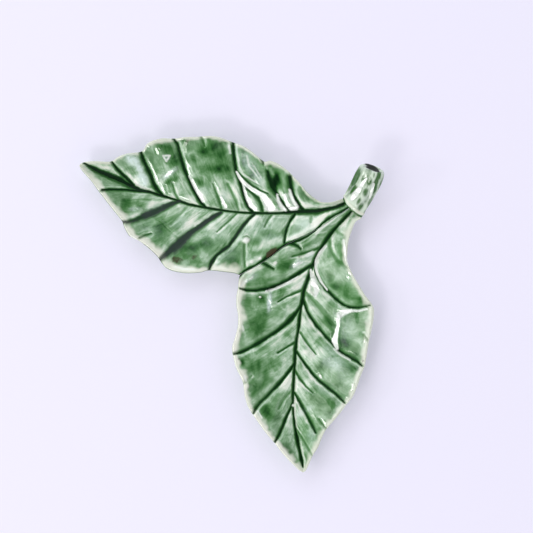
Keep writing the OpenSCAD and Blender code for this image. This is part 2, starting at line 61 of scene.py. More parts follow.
MM = 0.001
HAIR = 1e-6
DRAWING_UNIT = 0.64 * MM
DRAWING_SIZE = 533
DRAWING_ORIGIN = (231.4, 304.2)
DRAWING_EYE = (266.5, 266.5)
EYE_HEIGHT = 1.2
RIM_LEVEL = 15 * MM
EYE_PLAN = (
    (DRAWING_EYE[0] - DRAWING_ORIGIN[0]) * DRAWING_UNIT,
    (DRAWING_ORIGIN[1] - DRAWING_EYE[1]) * DRAWING_UNIT,
)
EYE = Vector((*EYE_PLAN, EYE_HEIGHT))
WINDOW = (-0.924, -1.182, 1.609)
SIDE_WINDOW = (-1.80, -0.16, 1.20)
CURVE_EASE = 0.8
OUT_OF_REACH = 99.0
SPOT_EDGE = 1.4
GLEAM_SPAN = (1.35, 0.75)

Rows = Sequence[Sequence[float]]
Colour = tuple[float, float, float, float]
Scale = tuple[float, float, float]


def eased(key: np.ndarray, rows: Rows) -> np.ndarray:
    """Reads a table along a smooth curve through its rows.

    Args:
        key: Places along the table's first column.
        rows: The table, sorted by its first column.

    Returns:
        The other columns at each place.
    """
    table = np.array(rows, dtype=float)
    keys, values = table[:, 0], table[:, 1:]
    last = len(keys) - 1
    low = np.clip(np.arange(last + 1) - 1, 0, last)
    high = np.clip(np.arange(last + 1) + 1, 0, last)
    slope = CURVE_EASE * (values[high] - values[low]) / (keys[high] - keys[low])[:, None]
    i = np.clip(np.searchsorted(keys, key, side="right") - 1, 0, last - 1)
    span = (keys[i + 1] - keys[i])[:, None]
    u = (np.asarray(key) - keys[i])[:, None] / span
    return (
        values[i] * (2 * u**3 - 3 * u**2 + 1) + values[i + 1] * (3 * u**2 - 2 * u**3)
        + span * (slope[i] * (u**3 - 2 * u**2 + u) + slope[i + 1] * (u**3 - u**2))
    )


def smooth(low: float | np.ndarray, high: float | np.ndarray, value: np.ndarray) -> np.ndarray:
    """Smooth step from 0 at low to 1 at high; low may lie above high."""
    u = np.clip((value - low) / (high - low), 0, 1)
    return u * u * (3 - 2 * u)


def unit(degrees: float) -> np.ndarray:
    """Plan direction at an angle in degrees."""
    return np.array([math.cos(math.radians(degrees)), math.sin(math.radians(degrees))])


def turbulence(points: np.ndarray, scale: float, seed: float) -> np.ndarray:
    """Soft noise from -1 to 1 at plan points, with features of about the given size."""
    return np.array([noise.noise(Vector((x / scale, y / scale, seed))) for x, y in points[:, :2]])


def ripples(points: np.ndarray, rows: Rows) -> np.ndarray:
    """Sum of soft noises; each row holds the size of its features, its seed and its strength."""
    return sum(turbulence(points, size, seed) * strength for size, seed, strength in rows)


def bell(away: np.ndarray, width: float) -> np.ndarray:
    """A hump that is 1 at 0 and has fallen to about a third one width away."""
    return np.exp(-((away / width) ** 2))


def strongest(count: int, layers: Iterable[np.ndarray]) -> np.ndarray:
    """Greatest value of the layers at each of the points, and at least 0."""
    return np.max([np.zeros(count), *layers], axis=0)


def drawing_of(points: np.ndarray) -> np.ndarray:
    """Finds where the eye above the table sees points in space.

    Args:
        points: Rows of x, y and z in metres.

    Returns:
        Rows of x and y on the drawing.
    """
    reach = DRAWING_UNIT / (EYE_HEIGHT - RIM_LEVEL)
    far = (EYE_HEIGHT - points[:, 2]) * reach
    return np.stack([
        DRAWING_EYE[0] + (points[:, 0] - EYE_PLAN[0]) / far,
        DRAWING_EYE[1] - (points[:, 1] - EYE_PLAN[1]) / far,
    ], axis=1)


@dataclass(frozen=True)
class Stroke:
    """A groove, a ridge or a pale line on the drawing: its points are x, y and half width.

    Its height is in millimetres. Ink is how dark its glaze is, the number after pale_side is how much grey
    painted reflection lies over that glaze, and a stroke wider than most narrows its ink by slim.
    """

    points: Rows
    height: float
    ink: float = 1.0
    # the lit side of the stroke, whose bank is painted paler as highlight
    pale_side: int = 1
    ash: float = 0.0
    slim: float = 1.22

    def nearness(self, places: np.ndarray) -> tuple[np.ndarray, np.ndarray]:
        """Measures how near places on the drawing are to the stroke.

        Args:
            places: Rows of x and y on the drawing.

        Returns:
            The least distance of each place in half widths, and whether it's on the pale side.
        """
        best = np.full(len(places), OUT_OF_REACH)
        pale = np.zeros(len(places), dtype=bool)
        line = np.array(self.points, dtype=float)
        reach = 5 * line[:, 2].max() + 1
        for a, b in zip(line[:-1], line[1:]):
            low, high = np.minimum(a, b)[:2] - reach, np.maximum(a, b)[:2] + reach
            near = np.nonzero(np.all((places > low) & (places < high), axis=1))[0]
            if not len(near):
                continue
            run = b[:2] - a[:2]
            away = places[near] - a[:2]
            share = np.clip(away @ run / max(run @ run, 1e-9), 0, 1)
            gap = np.linalg.norm(away - share[:, None] * run, axis=1) / (a[2] + share * (b[2] - a[2]))
            closer = gap < best[near]
            hits = near[closer]
            best[hits] = gap[closer]
            pale[hits] = self.pale_side * (run[1] * away[closer, 0] - run[0] * away[closer, 1]) > 0
        return best, pale

    def gleam(self, places: np.ndarray) -> np.ndarray:
        """How strongly the stroke shows as a pale line at each place."""
        return self.ink * smooth(*GLEAM_SPAN, self.nearness(places)[0])


@dataclass(frozen=True)
class Spot:
    """A soft oval on the drawing: middle, half sizes, turn in degrees, and how much it adds."""

    x: float
    y: float
    long: float
    short: float
    turn: float
    amount: float

    def cover(self, places: np.ndarray) -> np.ndarray:
        """Measures how strongly the oval covers places.

        Args:
            places: Rows of x and y on the drawing.

        Returns:
            A share from 0 to 1 for each place.
        """
        along = unit(-self.turn)
        away = places - np.array([self.x, self.y])
        u = (away @ along) / self.long
        v = (away @ np.array([-along[1], along[0]])) / self.short
        return np.exp(-(u * u + v * v) ** SPOT_EDGE)

    def dab(self, places: np.ndarray) -> np.ndarray:
        """How much the oval adds at each place."""
        return self.amount * self.cover(places)


@dataclass(frozen=True)
class Facet:
    """A small plane in the clay whose glaze mirrors a window to the eye; its points are as a stroke's.

    The plane is full within firm half widths and gone at soft, and its middle is sought within core. It
    cuts no more than deepest into the clay, and dim turns it away from the window.
    """

    points: Rows
    dim: float = 0.0
    window: tuple[float, float, float] = WINDOW
    firm: float = 0.85
    soft: float = 1.3
    core: float = 1.2
    deepest: float = 1.3 * MM

    def press(self, places: np.ndarray, plan: np.ndarray, heights: np.ndarray) -> np.ndarray:
        """Lays the plane into the clay.

        Args:
            places: The points on the drawing.
            plan: The points in plan, in metres.
            heights: Their heights in metres.

        Returns:
            The new heights.
        """
        off, _ = Stroke(self.points, 0).nearness(places)
        cover = smooth(self.soft, self.firm, off)
        centre = np.mean(np.array(self.points)[:, :2], axis=0)
        middle = np.argmin(np.where(off < self.core, np.linalg.norm(places - centre, axis=1), np.inf))
        here = Vector((*plan[middle], heights[middle]))
        mirror = (Vector(self.window) - here).normalized() + (EYE - here).normalized()
        slope = (1 - self.dim) / mirror.z
        fall = slope * (mirror.x * (plan[:, 0] - here.x) + mirror.y * (plan[:, 1] - here.y))
        change = np.tanh((here.z - fall - heights) / self.deepest) * self.deepest
        return heights + change * cover


# Colours and shader nodes


def tone(red: float, green: float, blue: float) -> Colour:
    """Turns a screen colour into the linear colour that a shader takes.

    Args:
        red: Red from 0 to 255.
        green: Green from 0 to 255.
        blue: Blue from 0 to 255.

    Returns:
        The linear colour, opaque.
    """
    def linear(v: float) -> float:
        """One channel."""
        v /= 255
        return v / 12.92 if v <= 0.04045 else ((v + 0.055) / 1.055) ** 2.4
    return (linear(red), linear(green), linear(blue), 1.0)


class Wire:
    """A socket of a shader with arithmetic."""

    def __init__(self, bench: "Bench", socket: bpy.types.NodeSocket) -> None:
        """Keeps the socket and the bench that its nodes stand on."""
        self.bench, self.socket = bench, socket

    def _math(self, operation: str, first: object, second: object) -> "Wire":
        """Adds one Math node."""
        return self.bench.node("ShaderNodeMath", {"operation": operation}, {0: first, 1: second})

    def __add__(self, other: object) -> "Wire":
        """Sum."""
        return self._math("ADD", self, other)

    __radd__ = __add__

    def __sub__(self, other: object) -> "Wire":
        """Difference."""
        return self._math("SUBTRACT", self, other)

    def __rsub__(self, other: object) -> "Wire":
        """Difference from a number."""
        return self._math("SUBTRACT", other, self)

    def __mul__(self, other: object) -> "Wire":
        """Product."""
        return self._math("MULTIPLY", self, other)

    __rmul__ = __mul__

    def clamped(self) -> "Wire":
        """The value held between 0 and 1."""
        return self.bench.node("ShaderNodeClamp", {}, {0: self})

    def ramp(self, low: float, high: float) -> "Wire":
        """Smooth step from 0 at low to 1 at high."""
        inputs = {0: self, 1: low, 2: high, 3: 0.0, 4: 1.0}
        return self.bench.node("ShaderNodeMapRange", {"interpolation_type": "SMOOTHSTEP"}, inputs)


class Bench:
    """Builds the node tree of one material."""

    def __init__(self, name: str, room: bpy.types.World | None = None) -> None:
        """Starts an empty tree with an output node.

        Args:
            name: Name of the new material.
            room: A world to work on in place of a material.
        """
        self.material = room or bpy.data.materials.new(name)
        self.material.use_nodes = True
        self.tree = self.material.node_tree
        self.tree.nodes.clear()
        self.output = self.tree.nodes.new("ShaderNodeOutputWorld" if room else "ShaderNodeOutputMaterial")

    def node(self, kind: str, settings: dict, inputs: dict, out: object = 0) -> Wire:
        """Adds a node.

        Args:
            kind: The node's type.
            settings: Its own settings; "stops" holds a colour ramp's stops.
            inputs: Values or wires by the name or number of the socket.
            out: Name or number of the socket that is handed on.

        Returns:
            The wire of that socket.
        """
        made = self.tree.nodes.new(kind)
        for key, value in settings.items():
            if key == "stops":
                stops = made.color_ramp.elements
                while len(stops) < len(value):
                    stops.new(1)
                for stop, (place, colour) in zip(stops, value):
                    stop.position, stop.color = place, colour
            else:
                setattr(made, key, value)
        for key, value in inputs.items():
            if isinstance(value, Wire):
                self.tree.links.new(value.socket, made.inputs[key])
            else:
                made.inputs[key].default_value = value
        return Wire(self, made.outputs[out])

    def attribute(self, name: str) -> Wire:
        """Value of a number kept on the piece's points."""
        return self.node("ShaderNodeAttribute", {"attribute_name": name}, {}, "Fac")

    def coordinates(self, kind: str) -> Wire:
        """The piece's Object coordinates or its own UV map, by the name of the socket."""
        return self.node("ShaderNodeTexCoord", {}, {}, kind)

    def grain(self, where: Wire, scale: float, detail: float, rough: float = 0.5, warp: float = 0.0) -> Wire:
        """Noise from 0 to 1."""
        return self.node("ShaderNodeTexNoise", {}, {
            "Vector": where, "Scale": scale, "Detail": detail, "Roughness": rough, "Distortion": warp,
        })

    def stretched(self, where: Wire, scale: Scale) -> Wire:
        """Coordinates stretched by a Mapping node."""
        return self.node("ShaderNodeMapping", {}, {"Vector": where, "Scale": scale})

    def mixed(self, share: object, first: object, second: object) -> Wire:
        """Mix of two colours."""
        return self.node("ShaderNodeMix", {"data_type": "RGBA"}, {"Factor": share, 6: first, 7: second}, 2)

    def bump(self, height: Wire, strength: float, distance: float) -> Wire:
        """Relief that is too fine for the mesh."""
        return self.node("ShaderNodeBump", {}, {"Strength": strength, "Distance": distance, "Height": height})

    def finish(self, surface: dict) -> bpy.types.Material:
        """Adds the surface shader.

        Args:
            surface: Values and wires by the name of the shader's socket.

        Returns:
            The finished material.
        """
        shader = self.node("ShaderNodeBsdfPrincipled", {}, surface)
        self.tree.links.new(shader.socket, self.output.inputs["Surface"])
        return self.material


GLASSY = {"IOR": 1.5, "Coat Roughness": 0.03, "Coat IOR": 1.75, "Specular IOR Level": 0.0}


@dataclass(frozen=True)
class LeafGlaze:
    """Green translucent glaze over a pale slip: thin and cream on edges, nearly black where it pools; painted
    highlights, sheen and grey reflections lie over it.
    """

    stops: tuple[tuple[float, Colour], ...] = (
        (0.00, tone(242, 245, 230)), (0.14, tone(219, 231, 212)), (0.30, tone(172, 201, 169)),
        (0.46, tone(121, 162, 116)), (0.62, tone(80, 128, 74)), (0.76, tone(49, 98, 46)),
        (0.88, tone(25, 64, 28)), (1.00, tone(12, 37, 17)),
    )
    cream: Colour = tone(238, 240, 222)
    painted_sheen_colour: Colour = tone(212, 231, 221)
    break_and_highlight_white: Colour = tone(238, 243, 233)
    groove_sheen_grey: Colour = tone(54, 66, 60)
    brown: Colour = tone(66, 54, 40)
    streaks: float = 0.62
    mottle: float = 1.0
    streak_scale: Scale = (60.0, 6.5, 1.0)
    hair_scale: Scale = (190.0, 18.0, 1.0)
    cloud_scale: float = 105.0
    web_scale: float = 330.0
    ripple_scale: float = 300.0
    speck_scale: float = 420.0

    def material(self, name: str) -> bpy.types.Material:
        """Builds the glaze from the piece's own UV map and the numbers on its points.

        Args:
            name: Name of the material.

        Returns:
            The material.
        """
        bench = Bench(name)
        flow, place = bench.coordinates("UV"), bench.coordinates("Object")
        ink, rim, rust = bench.attribute("ink"), bench.attribute("rim"), bench.attribute("rust")
        under = bench.attribute("under")
        streak = bench.grain(bench.stretched(flow, self.streak_scale), 1.0, 3.0, 0.55, 0.8)
        hair = bench.grain(bench.stretched(flow, self.hair_scale), 1.0, 2.0, 0.5, 0.5)
        cloud = bench.grain(place, self.cloud_scale, 4.0, 0.56, 0.5)
        web = bench.grain(place, self.web_scale, 2.0, 0.5, 1.2)
        speck = bench.grain(place, self.speck_scale, 2.0)
        ripple = bench.grain(place, self.ripple_scale, 2.0)
        bare = 1 - ink
        thick = bench.attribute("glaze") + bare * (
            (streak - 0.5) * self.streaks * bench.attribute("streak") + (hair - 0.5) * (self.streaks * 0.2)
            + (cloud - 0.5) * self.mottle * (1 - 0.55 * under)
        )
        colour = bench.node("ShaderNodeValToRGB", {"stops": self.stops}, {0: thick.clamped()})
        # Painted reflection: a grey veil laid over the dark glaze in some grooves.
        groove_sheen_mix = (bench.attribute("ash") * (1.0 + (cloud - 0.5) * 3 + (streak - 0.5) * 1.6)).clamped()
        colour = bench.mixed(groove_sheen_mix, colour, self.groove_sheen_grey)
        band = (rim + (cloud - 0.5) * 0.5 * rim).clamped() * bare
        colour = bench.mixed(band, colour, self.cream)
        # Painted sheen: a milky bluish reflection of the pale room, painted into the colour as a cell-like
        # veil.
        sheen_veil = bench.attribute("milk") * (0.7 + (web - 0.5) * 1.8).clamped()
        colour = bench.mixed(sheen_veil.clamped() * bare, colour, self.painted_sheen_colour)
        # Painted highlight: pale cream-white where the glaze breaks thin over sharp edges, widened and
        # brightened where the glaze mirrors a window, and white on the glaze beads.
        bald = (bench.attribute("bald") * (1.1 + (web - 0.5) * 1.2)).clamped()
        colour = bench.mixed(bald, colour, self.break_and_highlight_white)
        stain = (rust + (speck - 0.5) * 0.9).ramp(0.35, 0.95) * rust.ramp(0.05, 0.4)
        colour = bench.mixed(stain * 0.9, colour, self.brown)
        shine = (1 - 0.6 * under) * (1 - 0.95 * ink) * (1 - bench.attribute("dull"))
        return bench.finish(GLASSY | {
            "Base Color": colour, "Roughness": 0.16 + 0.35 * under,
            "Coat Weight": shine * (1 - 0.65 * thick.ramp(0.5, 0.85)),
            "Normal": bench.bump(ripple, 0.05, 0.6 * MM),
        })


@dataclass(frozen=True)
class TwigGlaze:
    """The twig's glaze: pale sage with rows of dark spots, a cream lip and a dark cut end."""

    pale: Colour = tone(210, 226, 203)
    green: Colour = tone(44, 98, 30)
    break_and_highlight_white: Colour = tone(240, 245, 236)
    cream: Colour = tone(226, 229, 205)
    dark: Colour = tone(50, 54, 48)
    cloud_scale: float = 260.0
    streak_scale: Scale = (22.0, 2.5, 1.0)

    def material(self, name: str) -> bpy.types.Material:
        """Builds the glaze from the piece's own UV map and the numbers on its points.

        Args:
            name: Name of the material.

        Returns:
            The material.
        """
        bench = Bench(name)
        ink = bench.attribute("ink")
        cloud = bench.grain(bench.coordinates("Object"), self.cloud_scale, 3.0, 0.6)
        streak = bench.grain(bench.stretched(bench.coordinates("UV"), self.streak_scale), 1.0, 3.0, 0.55, 0.5)
        spots = bench.attribute("glaze") + (cloud - 0.5) * 0.9 + (streak - 0.45) * 1.0
        colour = bench.mixed(spots.ramp(0.08, 1.05), self.pale, self.green)
        colour = bench.mixed((bench.attribute("rim") + (cloud - 0.5) * 0.3).clamped(), colour, self.cream)
        # Painted highlight: white streaks where the twig's glaze mirrors the window.
        colour = bench.mixed(bench.attribute("bald"), colour, self.break_and_highlight_white)
        # The cut end: dark glaze pooled in its hollow, deepened by painted shade.
        colour = bench.mixed((ink + (cloud - 0.5) * 0.4).ramp(0.3, 0.6), colour, self.dark)
        return bench.finish(GLASSY | {
            "Base Color": colour, "Roughness": 0.2, "Normal": bench.bump(cloud, 0.08, 0.6 * MM),
            "Coat Weight": (1 - 0.85 * ink) * (1 - 0.45 * spots.ramp(0.25, 1.0)),
        })


@dataclass(frozen=True)
class FootClay:
    """Bare fired clay of the foot rings, stained a little by the table."""

    clay: Colour = tone(214, 203, 178)
    stain: Colour = tone(150, 128, 98)
    cloud_scale: float = 90.0
    grit_scale: float = 1500.0

    def material(self, name: str) -> bpy.types.Material:
        """Builds the clay from object coordinates.

        Args:
            name: Name of the material.

        Returns:
            The material.
        """
        bench = Bench(name)
        place = bench.coordinates("Object")
        cloud = bench.grain(place, self.cloud_scale, 4.0, 0.6)
        grit = bench.grain(place, self.grit_scale, 2.0, 0.7)
        colour = bench.mixed(cloud.ramp(0.45, 0.72) * 0.6, self.clay, self.stain)
        colour = bench.mixed(grit.ramp(0.62, 0.75) * 0.5, colour, self.stain)
        return bench.finish({
            "Base Color": colour, "Roughness": 0.7 + 0.2 * cloud, "Normal": bench.bump(grit, 0.3, 0.3 * MM),
        })


# Shapes


@dataclass
class Skin:
    """A closed skin shaped from a flat grid: its points' places and the numbers kept on them."""

    places: np.ndarray
    uv: np.ndarray
    numbers: dict[str, np.ndarray]


def placed(name: str, data: bpy.types.ID) -> bpy.types.Object:
    """Adds an object to the scene.

    Args:
        name: Name of the object.
        data: Its mesh, light or camera.

    Returns:
        The object.
    """
    made = bpy.data.objects.new(name, data)
    bpy.context.collection.objects.link(made)
    return made


def shaped_grid(
    name: str, columns: int, rows: int, shape: Callable[[np.ndarray, np.ndarray], Skin]
) -> bpy.types.Object:
    """Bends a flat grid into a closed piece.

    Args:
        name: Name of the piece.
        columns: Points along the piece.
        rows: Points round it; the last row meets the first.
        shape: Gives the skin at shares along and round.

    Returns:
        The new object, with its loose rims closed and its faces outwards.
    """
    flat = bmesh.new()
    bmesh.ops.create_grid(flat, x_segments=columns - 1, y_segments=rows - 1, size=1.0)
    mesh = bpy.data.meshes.new(name)
    flat.to_mesh(mesh)
    flat.free()
    corners = np.empty(len(mesh.vertices) * 3)
    mesh.vertices.foreach_get("co", corners)
    corners = corners.reshape(-1, 3) / 2 + 0.5
    skin = shape(corners[:, 0], corners[:, 1])
    mesh.vertices.foreach_set("co", skin.places.astype(np.float32).ravel())
    for key, values in skin.numbers.items():
        layer = mesh.attributes.new(key, "FLOAT", "POINT")
        layer.data.foreach_set("value", values.astype(np.float32))
    loops = np.empty(len(mesh.loops), dtype=np.int32)
    mesh.loops.foreach_get("vertex_index", loops)
    mesh.uv_layers.new(name="flow").data.foreach_set("uv", skin.uv[loops].astype(np.float32).ravel())
    closed = bmesh.new()
    closed.from_mesh(mesh)
    bmesh.ops.remove_doubles(closed, verts=closed.verts, dist=HAIR)
    open_edges = [edge for edge in closed.edges if edge.is_boundary]
    if open_edges:
        bmesh.ops.holes_fill(closed, edges=open_edges, sides=0)
    bmesh.ops.recalc_face_normals(closed, faces=closed.faces)
    for face in closed.faces:
        face.smooth = len(face.verts) <= 4
    closed.to_mesh(mesh)
    closed.free()
    return placed(name, mesh)


class Turn(Enum):
    """Which way a leaf's along and across run in plan."""

    LEFT = "left"
    DOWN = "down"

    def plan(self, along: np.ndarray, across: np.ndarray) -> np.ndarray:
        """Plan points of a leaf's own along and across."""
        pair = (-along, across) if self is Turn.LEFT else (across, -along)
        return np.stack(pair, axis=-1)


class Stretch(IntEnum):
    """The stretches of a blade's section, over the top from the near edge and back below."""

    NEAR_TOP = 0
    FAR_TOP = 1
    FAR_EDGE = 2
    FAR_UNDER = 3
    NEAR_UNDER = 4
    NEAR_EDGE = 5


@dataclass(frozen=True)
class Seam:
    """The line along which the blades are luted together, and the joint with the twig that it starts from."""

    length: float = 83.5 * MM
    angle: float = 211.5
    lap: float = 0.05 * MM
    wander: Rows = ((0, 0), (0.33, 0.009), (0.57, -0.012), (0.78, 0.007), (1, 0))
    joint_width: float = 17.8 * MM
    joint_angle: float = -46
    joint_root: float = 0.43

    def joint(self, share: float) -> np.ndarray:
        """Plan point on the joint's face."""
        return (share - self.joint_root) * self.joint_width * unit(self.joint_angle)

    def at(self, share: np.ndarray, side: float) -> np.ndarray:
        """Finds points on the seam, a hair past it on the far side, so that the blades touch.

        Args:
            share: Shares along the seam from the joint.
            side: 1 or -1 for the blade whose edge it is.

        Returns:
            The points in plan.
        """
        drift = eased(share, self.wander)
        line = self.length * (share[:, None] * unit(self.angle) + drift * unit(self.angle + 90))
        return line - side * self.lap * unit(self.angle - 90)


@dataclass(frozen=True)
class Side:
    """One side of a blade: its free edge, rim heights, how its ribs bow, and where they meet the seam.

    A row of edge holds the rib's root along the midrib, the rib's end along and across the blade, and how
    much it moves with the fork. A row of rims, bows or seam holds a root and its value. The cream band on
    the rim is rim_band wide on the drawing, and a line of painted shade darkens the outermost edge.
    """

    edge: Rows
    rims: Rows
    bows: Rows
    bend: float
    corner: float = -1
    seam: Rows = ()
    rim_band: float = 5.0
    rim_cream: float = 0.8
    edge_shade_line: float = 0.0

    def free(self, s: np.ndarray) -> np.ndarray:
        """How far shares along the midrib are past the seam, from 0 to 1."""
        end = self.seam[-1][0] if self.seam else -1.0
        return smooth(end - 0.01, end + 0.02, s)


@dataclass
class Leaf:
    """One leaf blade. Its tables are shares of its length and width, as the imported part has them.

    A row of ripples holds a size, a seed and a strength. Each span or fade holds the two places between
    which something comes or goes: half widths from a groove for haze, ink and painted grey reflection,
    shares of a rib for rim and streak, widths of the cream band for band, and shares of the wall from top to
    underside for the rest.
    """

    node: str
    turn: Turn
    length: float
    width: float
    midrib: Rows
    root: float
    fork: tuple[float, float]
    far: Side
    near: Side
    grooves: Sequence[Stroke]
    ridges: Sequence[Stroke]
    spots: Sequence[Spot]
    rust: Sequence[Spot]
    pearls: Sequence[Spot]
    facets: Sequence[Facet]
    breaks_and_highlights: Sequence[Stroke]
    milk: Sequence[Spot]
    dull: Sequence[Spot]
    ink_depth: float = 1.0
    ink_glaze: float = 0.97
    ink_span: tuple[float, float] = (1.3, 0.5)
    haze_span: tuple[float, float] = (3.0, 0.85)
    pale_haze: float = 1.5
    groove_sheen_span: tuple[float, float] = (1.5, 0.5)
    ink_ripples: Rows = ((9, 5.5, 0.34), (3, 2.2, 0.16))
    bank_ripples: Rows = ((17, 8.3, 0.9),)
    rim_ripples: Rows = ((13, 1.7, 0.55), (5, 4.1, 0.4))
    # white painted on the glaze beads as their highlight
    pearl_highlight: float = 0.9
    streaks: float = 0.62
    streak_span: tuple[float, float] = (0.35, 0.85)
    streak_loss: float = 0.6
    seam: Seam = field(default_factory=Seam)
    wall: float = 4.5 * MM
    rim_height: float = 16.5 * MM
    base_height: float = 14 * MM
    tip_height: float = 14.5 * MM
    floor: float = 7 * MM
    edge_round: float = 1.3 * MM
    brow_limit: float = 0.14
    lip_width: float = 3.2 * MM
    lip_rise: float = 0.5 * MM
    panel_rise: float = 0.9 * MM
    pearl_rise: float = 1.1 * MM
    clay_ripples: Rows = ((9 * MM, 3.1, 0.28 * MM), (4 * MM, 7.7, 0.05 * MM))
    groove_cut: float = 0.62
    full_groove: float = 1.2
    wide_groove: float = 1.4
    fall_share: float = 1.25
    fall_reach: float = 2.8
    haze_ink: float = 0.78
    bank_place: float = 2.1
    bank_width: float = 0.85
    dark_bank: float = 0.2
    panel_glaze: float = 0.34
    rim_glaze: float = 0.15
    rim_span: tuple[float, float] = (0.25, 0.7)
    band_span: tuple[float, float] = (2.0, 0.7)
    bank_glaze: float = 0.22
    under_glaze: float = 0.30
    edge_shade_depth: float = 0.36
    edge_shade_span: tuple[float, float] = (0.03, 0.25)
    edge_shade_fade: tuple[float, float] = (0.55, 0.3)
    top_fade: tuple[float, float] = (0.45, 0.9)
    under_span: tuple[float, float] = (0.6, 0.95)
    base_channel: float = 0.88
    flat_share: float = 0.5
    bowl_power: float = 1.7
    tip_start: float = 0.975
    keel_base: Rows = ((0, 1), (0.05, 0.84), (0.12, 0.36), (0.2, 0.04), (0.25, 0), (1, 0))
    keel_tip: Rows = ((0, 0), (0.8, 0), (0.88, 0.14), (0.95, 0.5), (1, 1))
    columns: int = 340
    top_points: int = 104
    edge_points: int = 8
    under_points: int = 14

    def shift(self) -> np.ndarray:
        """Where the start of the seam lies in the part's own frame."""
        left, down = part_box("left_leaf")[0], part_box("lower_leaf")[0]
        return np.array([left[0] + LEFT_LENGTH, down[1] + LOWER_LENGTH])

    def marks(self) -> np.ndarray:
        """Count of points round a section before each stretch, and the whole count last."""
        top, edge, under = self.top_points, self.edge_points, self.under_points
        return np.cumsum([0, top, top, edge, under, under, edge])

    def stretches(self, round_: np.ndarray) -> tuple[np.ndarray, np.ndarray]:
        """Sorts points into the stretches of a section.

        Args:
            round_: Shares round the section.

        Returns:
            The stretch of each point, and its share along the stretch.
        """
        marks = self.marks()
        step = round_ * marks[-1]
        stretch = np.clip(np.searchsorted(marks, step + HAIR, side="right") - 1, 0, Stretch.NEAR_EDGE)
        return stretch, np.clip((step - marks[stretch]) / np.diff(marks)[stretch], 0, 1)

    def edge_rows(self, side: Side) -> list[list[float]]:
        """Lists the free edge of a side from its corner or the fork to the tip.

        Args:
            side: The side of the blade.

        Returns:
            Rows of a share along the midrib and the point in plan where its rib ends.
        """
        tip = self.turn.plan(self.length, self.midrib[-1][2] * self.width)
        rows = [[0, *self.seam.joint(side.corner)]]
        shift = np.zeros(2)
        if side.seam:
            end = self.seam.at(np.array([1.0]), -side.bend)[0]
            fork = self.turn.plan(self.fork[0] * self.length, self.fork[1] * self.width)
            rows, shift = [[side.seam[-1][0], *end]], end - fork
        for root, along, across, follow in side.edge:
            rows.append([root, *(self.turn.plan(along * self.length, across * self.width) + follow * shift)])
        return rows + [[1, *tip]]

    def ribs(self, side: Side, s: np.ndarray) -> tuple[np.ndarray, np.ndarray, np.ndarray]:
        """Finds the ribs of a side at shares along the midrib.

        Args:
            side: The side of the blade.
            s: The shares along the midrib.

        Returns:
            The root, the pull of the bow and the end of each rib in plan.
        """
        rows = [[0, *self.seam.joint(self.root)]]
        rows += [[root, *self.turn.plan(along * self.length, across * self.width)]
                 for root, along, across in self.midrib]
        root = eased(s, rows)
        edge_rows = self.edge_rows(side)
        end = eased(np.maximum(s, edge_rows[0][0]), edge_rows)
        if side.seam:
            on_seam = s <= side.seam[-1][0]
            share = eased(s[on_seam], side.seam)[:, 0]
            end[on_seam] = self.seam.at(share, -side.bend)
        run = end - root
        bow = 2 * side.bend * eased(s, side.bows)
        return root, (root + end) / 2 + bow * np.stack([run[:, 1], -run[:, 0]], axis=1), end

    def section(
        self, side: Side, s: np.ndarray, stretch: np.ndarray, w: np.ndarray
    ) -> tuple[np.ndarray, np.ndarray, np.ndarray, np.ndarray]:
        """Lays points on the ribs of a side.

        Args:
            side: The side of the blade.
            s: Their shares along the midrib.
            stretch: The stretches of the section that they lie on.
            w: Their shares along those stretches.

        Returns:
            Their places in plan, the lengths of their ribs, their shares along the ribs, and how far down
            the wall they are, from 0 on top to 1 below.
        """
        root, middle, end = self.ribs(side, s)
        length = np.maximum(np.linalg.norm(end - root, axis=1), self.edge_round / 2)
        brow = np.minimum(self.edge_round / length, self.brow_limit)
        on_edge = np.isin(stretch, (Stretch.FAR_EDGE, Stretch.NEAR_EDGE))
        inbound = np.isin(stretch, (Stretch.NEAR_TOP, Stretch.FAR_UNDER))
        turn = np.where(stretch == Stretch.FAR_EDGE, w, 1 - w) * math.pi
        share = np.where(on_edge, 1 - brow * (1 - np.sin(turn)), np.where(inbound, 1 - w, w) * (1 - brow))
        down = np.where(on_edge, (1 - np.cos(turn)) / 2, stretch > Stretch.FAR_EDGE)
        q = share[:, None]
        return (1 - q) ** 2 * root + 2 * q * (1 - q) * middle + q**2 * end, length, share, down

    def skin(self, along: np.ndarray, round_: np.ndarray) -> Skin:
        """Shapes the blade.

        Args:
            along: Shares from the joint to the tip.
            round_: Shares round a section: over the top from the near edge to the far edge, then back below.

        Returns:
            The blade's skin with its glaze numbers.
        """
        stretch, w = self.stretches(round_)
        far = np.isin(stretch, (Stretch.FAR_TOP, Stretch.FAR_EDGE, Stretch.FAR_UNDER))
        plan = np.zeros((len(along), 2))
        length, t, lower, rim, band, cream, line = np.zeros((7, len(along)))
        for side, mine in ((self.far, far), (self.near, ~far)):
            s = along[mine]
            plan[mine], length[mine], t[mine], lower[mine] = self.section(side, s, stretch[mine], w[mine])
            rows = [(0, self.base_height)] + [(a, b * self.rim_height) for a, b in side.rims]
            rim[mine] = eased(s, rows + [(1, self.tip_height)])[:, 0]
            band[mine] = side.rim_band
            cream[mine], line[mine] = side.rim_cream * side.free(s), side.edge_shade_line * side.free(s)
        plan += self.shift()
        keel = self.keel(along)
        fade = np.clip((1 - along) / (1 - self.tip_start), 0, 1)
        hollow = keel + (rim - keel) * t**self.bowl_power
        rest = np.maximum(t - self.flat_share, 0) / (1 - self.flat_share)
        below = keel - self.wall + (rim - keel) * rest**self.bowl_power
        places = drawing_of(np.column_stack([plan, hollow]))
        depth, ink, bank, ash = self.carve(places)
        swell = self.panel_rise * np.minimum(1, t * length / self.lip_width)
        from_edge = (1 - t) * length
        uneven = ripples(plan, self.clay_ripples)
        top = hollow + fade * (swell - depth + self.raised(places) + uneven)
        top += self.lip_rise * bell(from_edge, self.lip_width)
        for facet in self.facets:
            top = facet.press(places, plan, top)
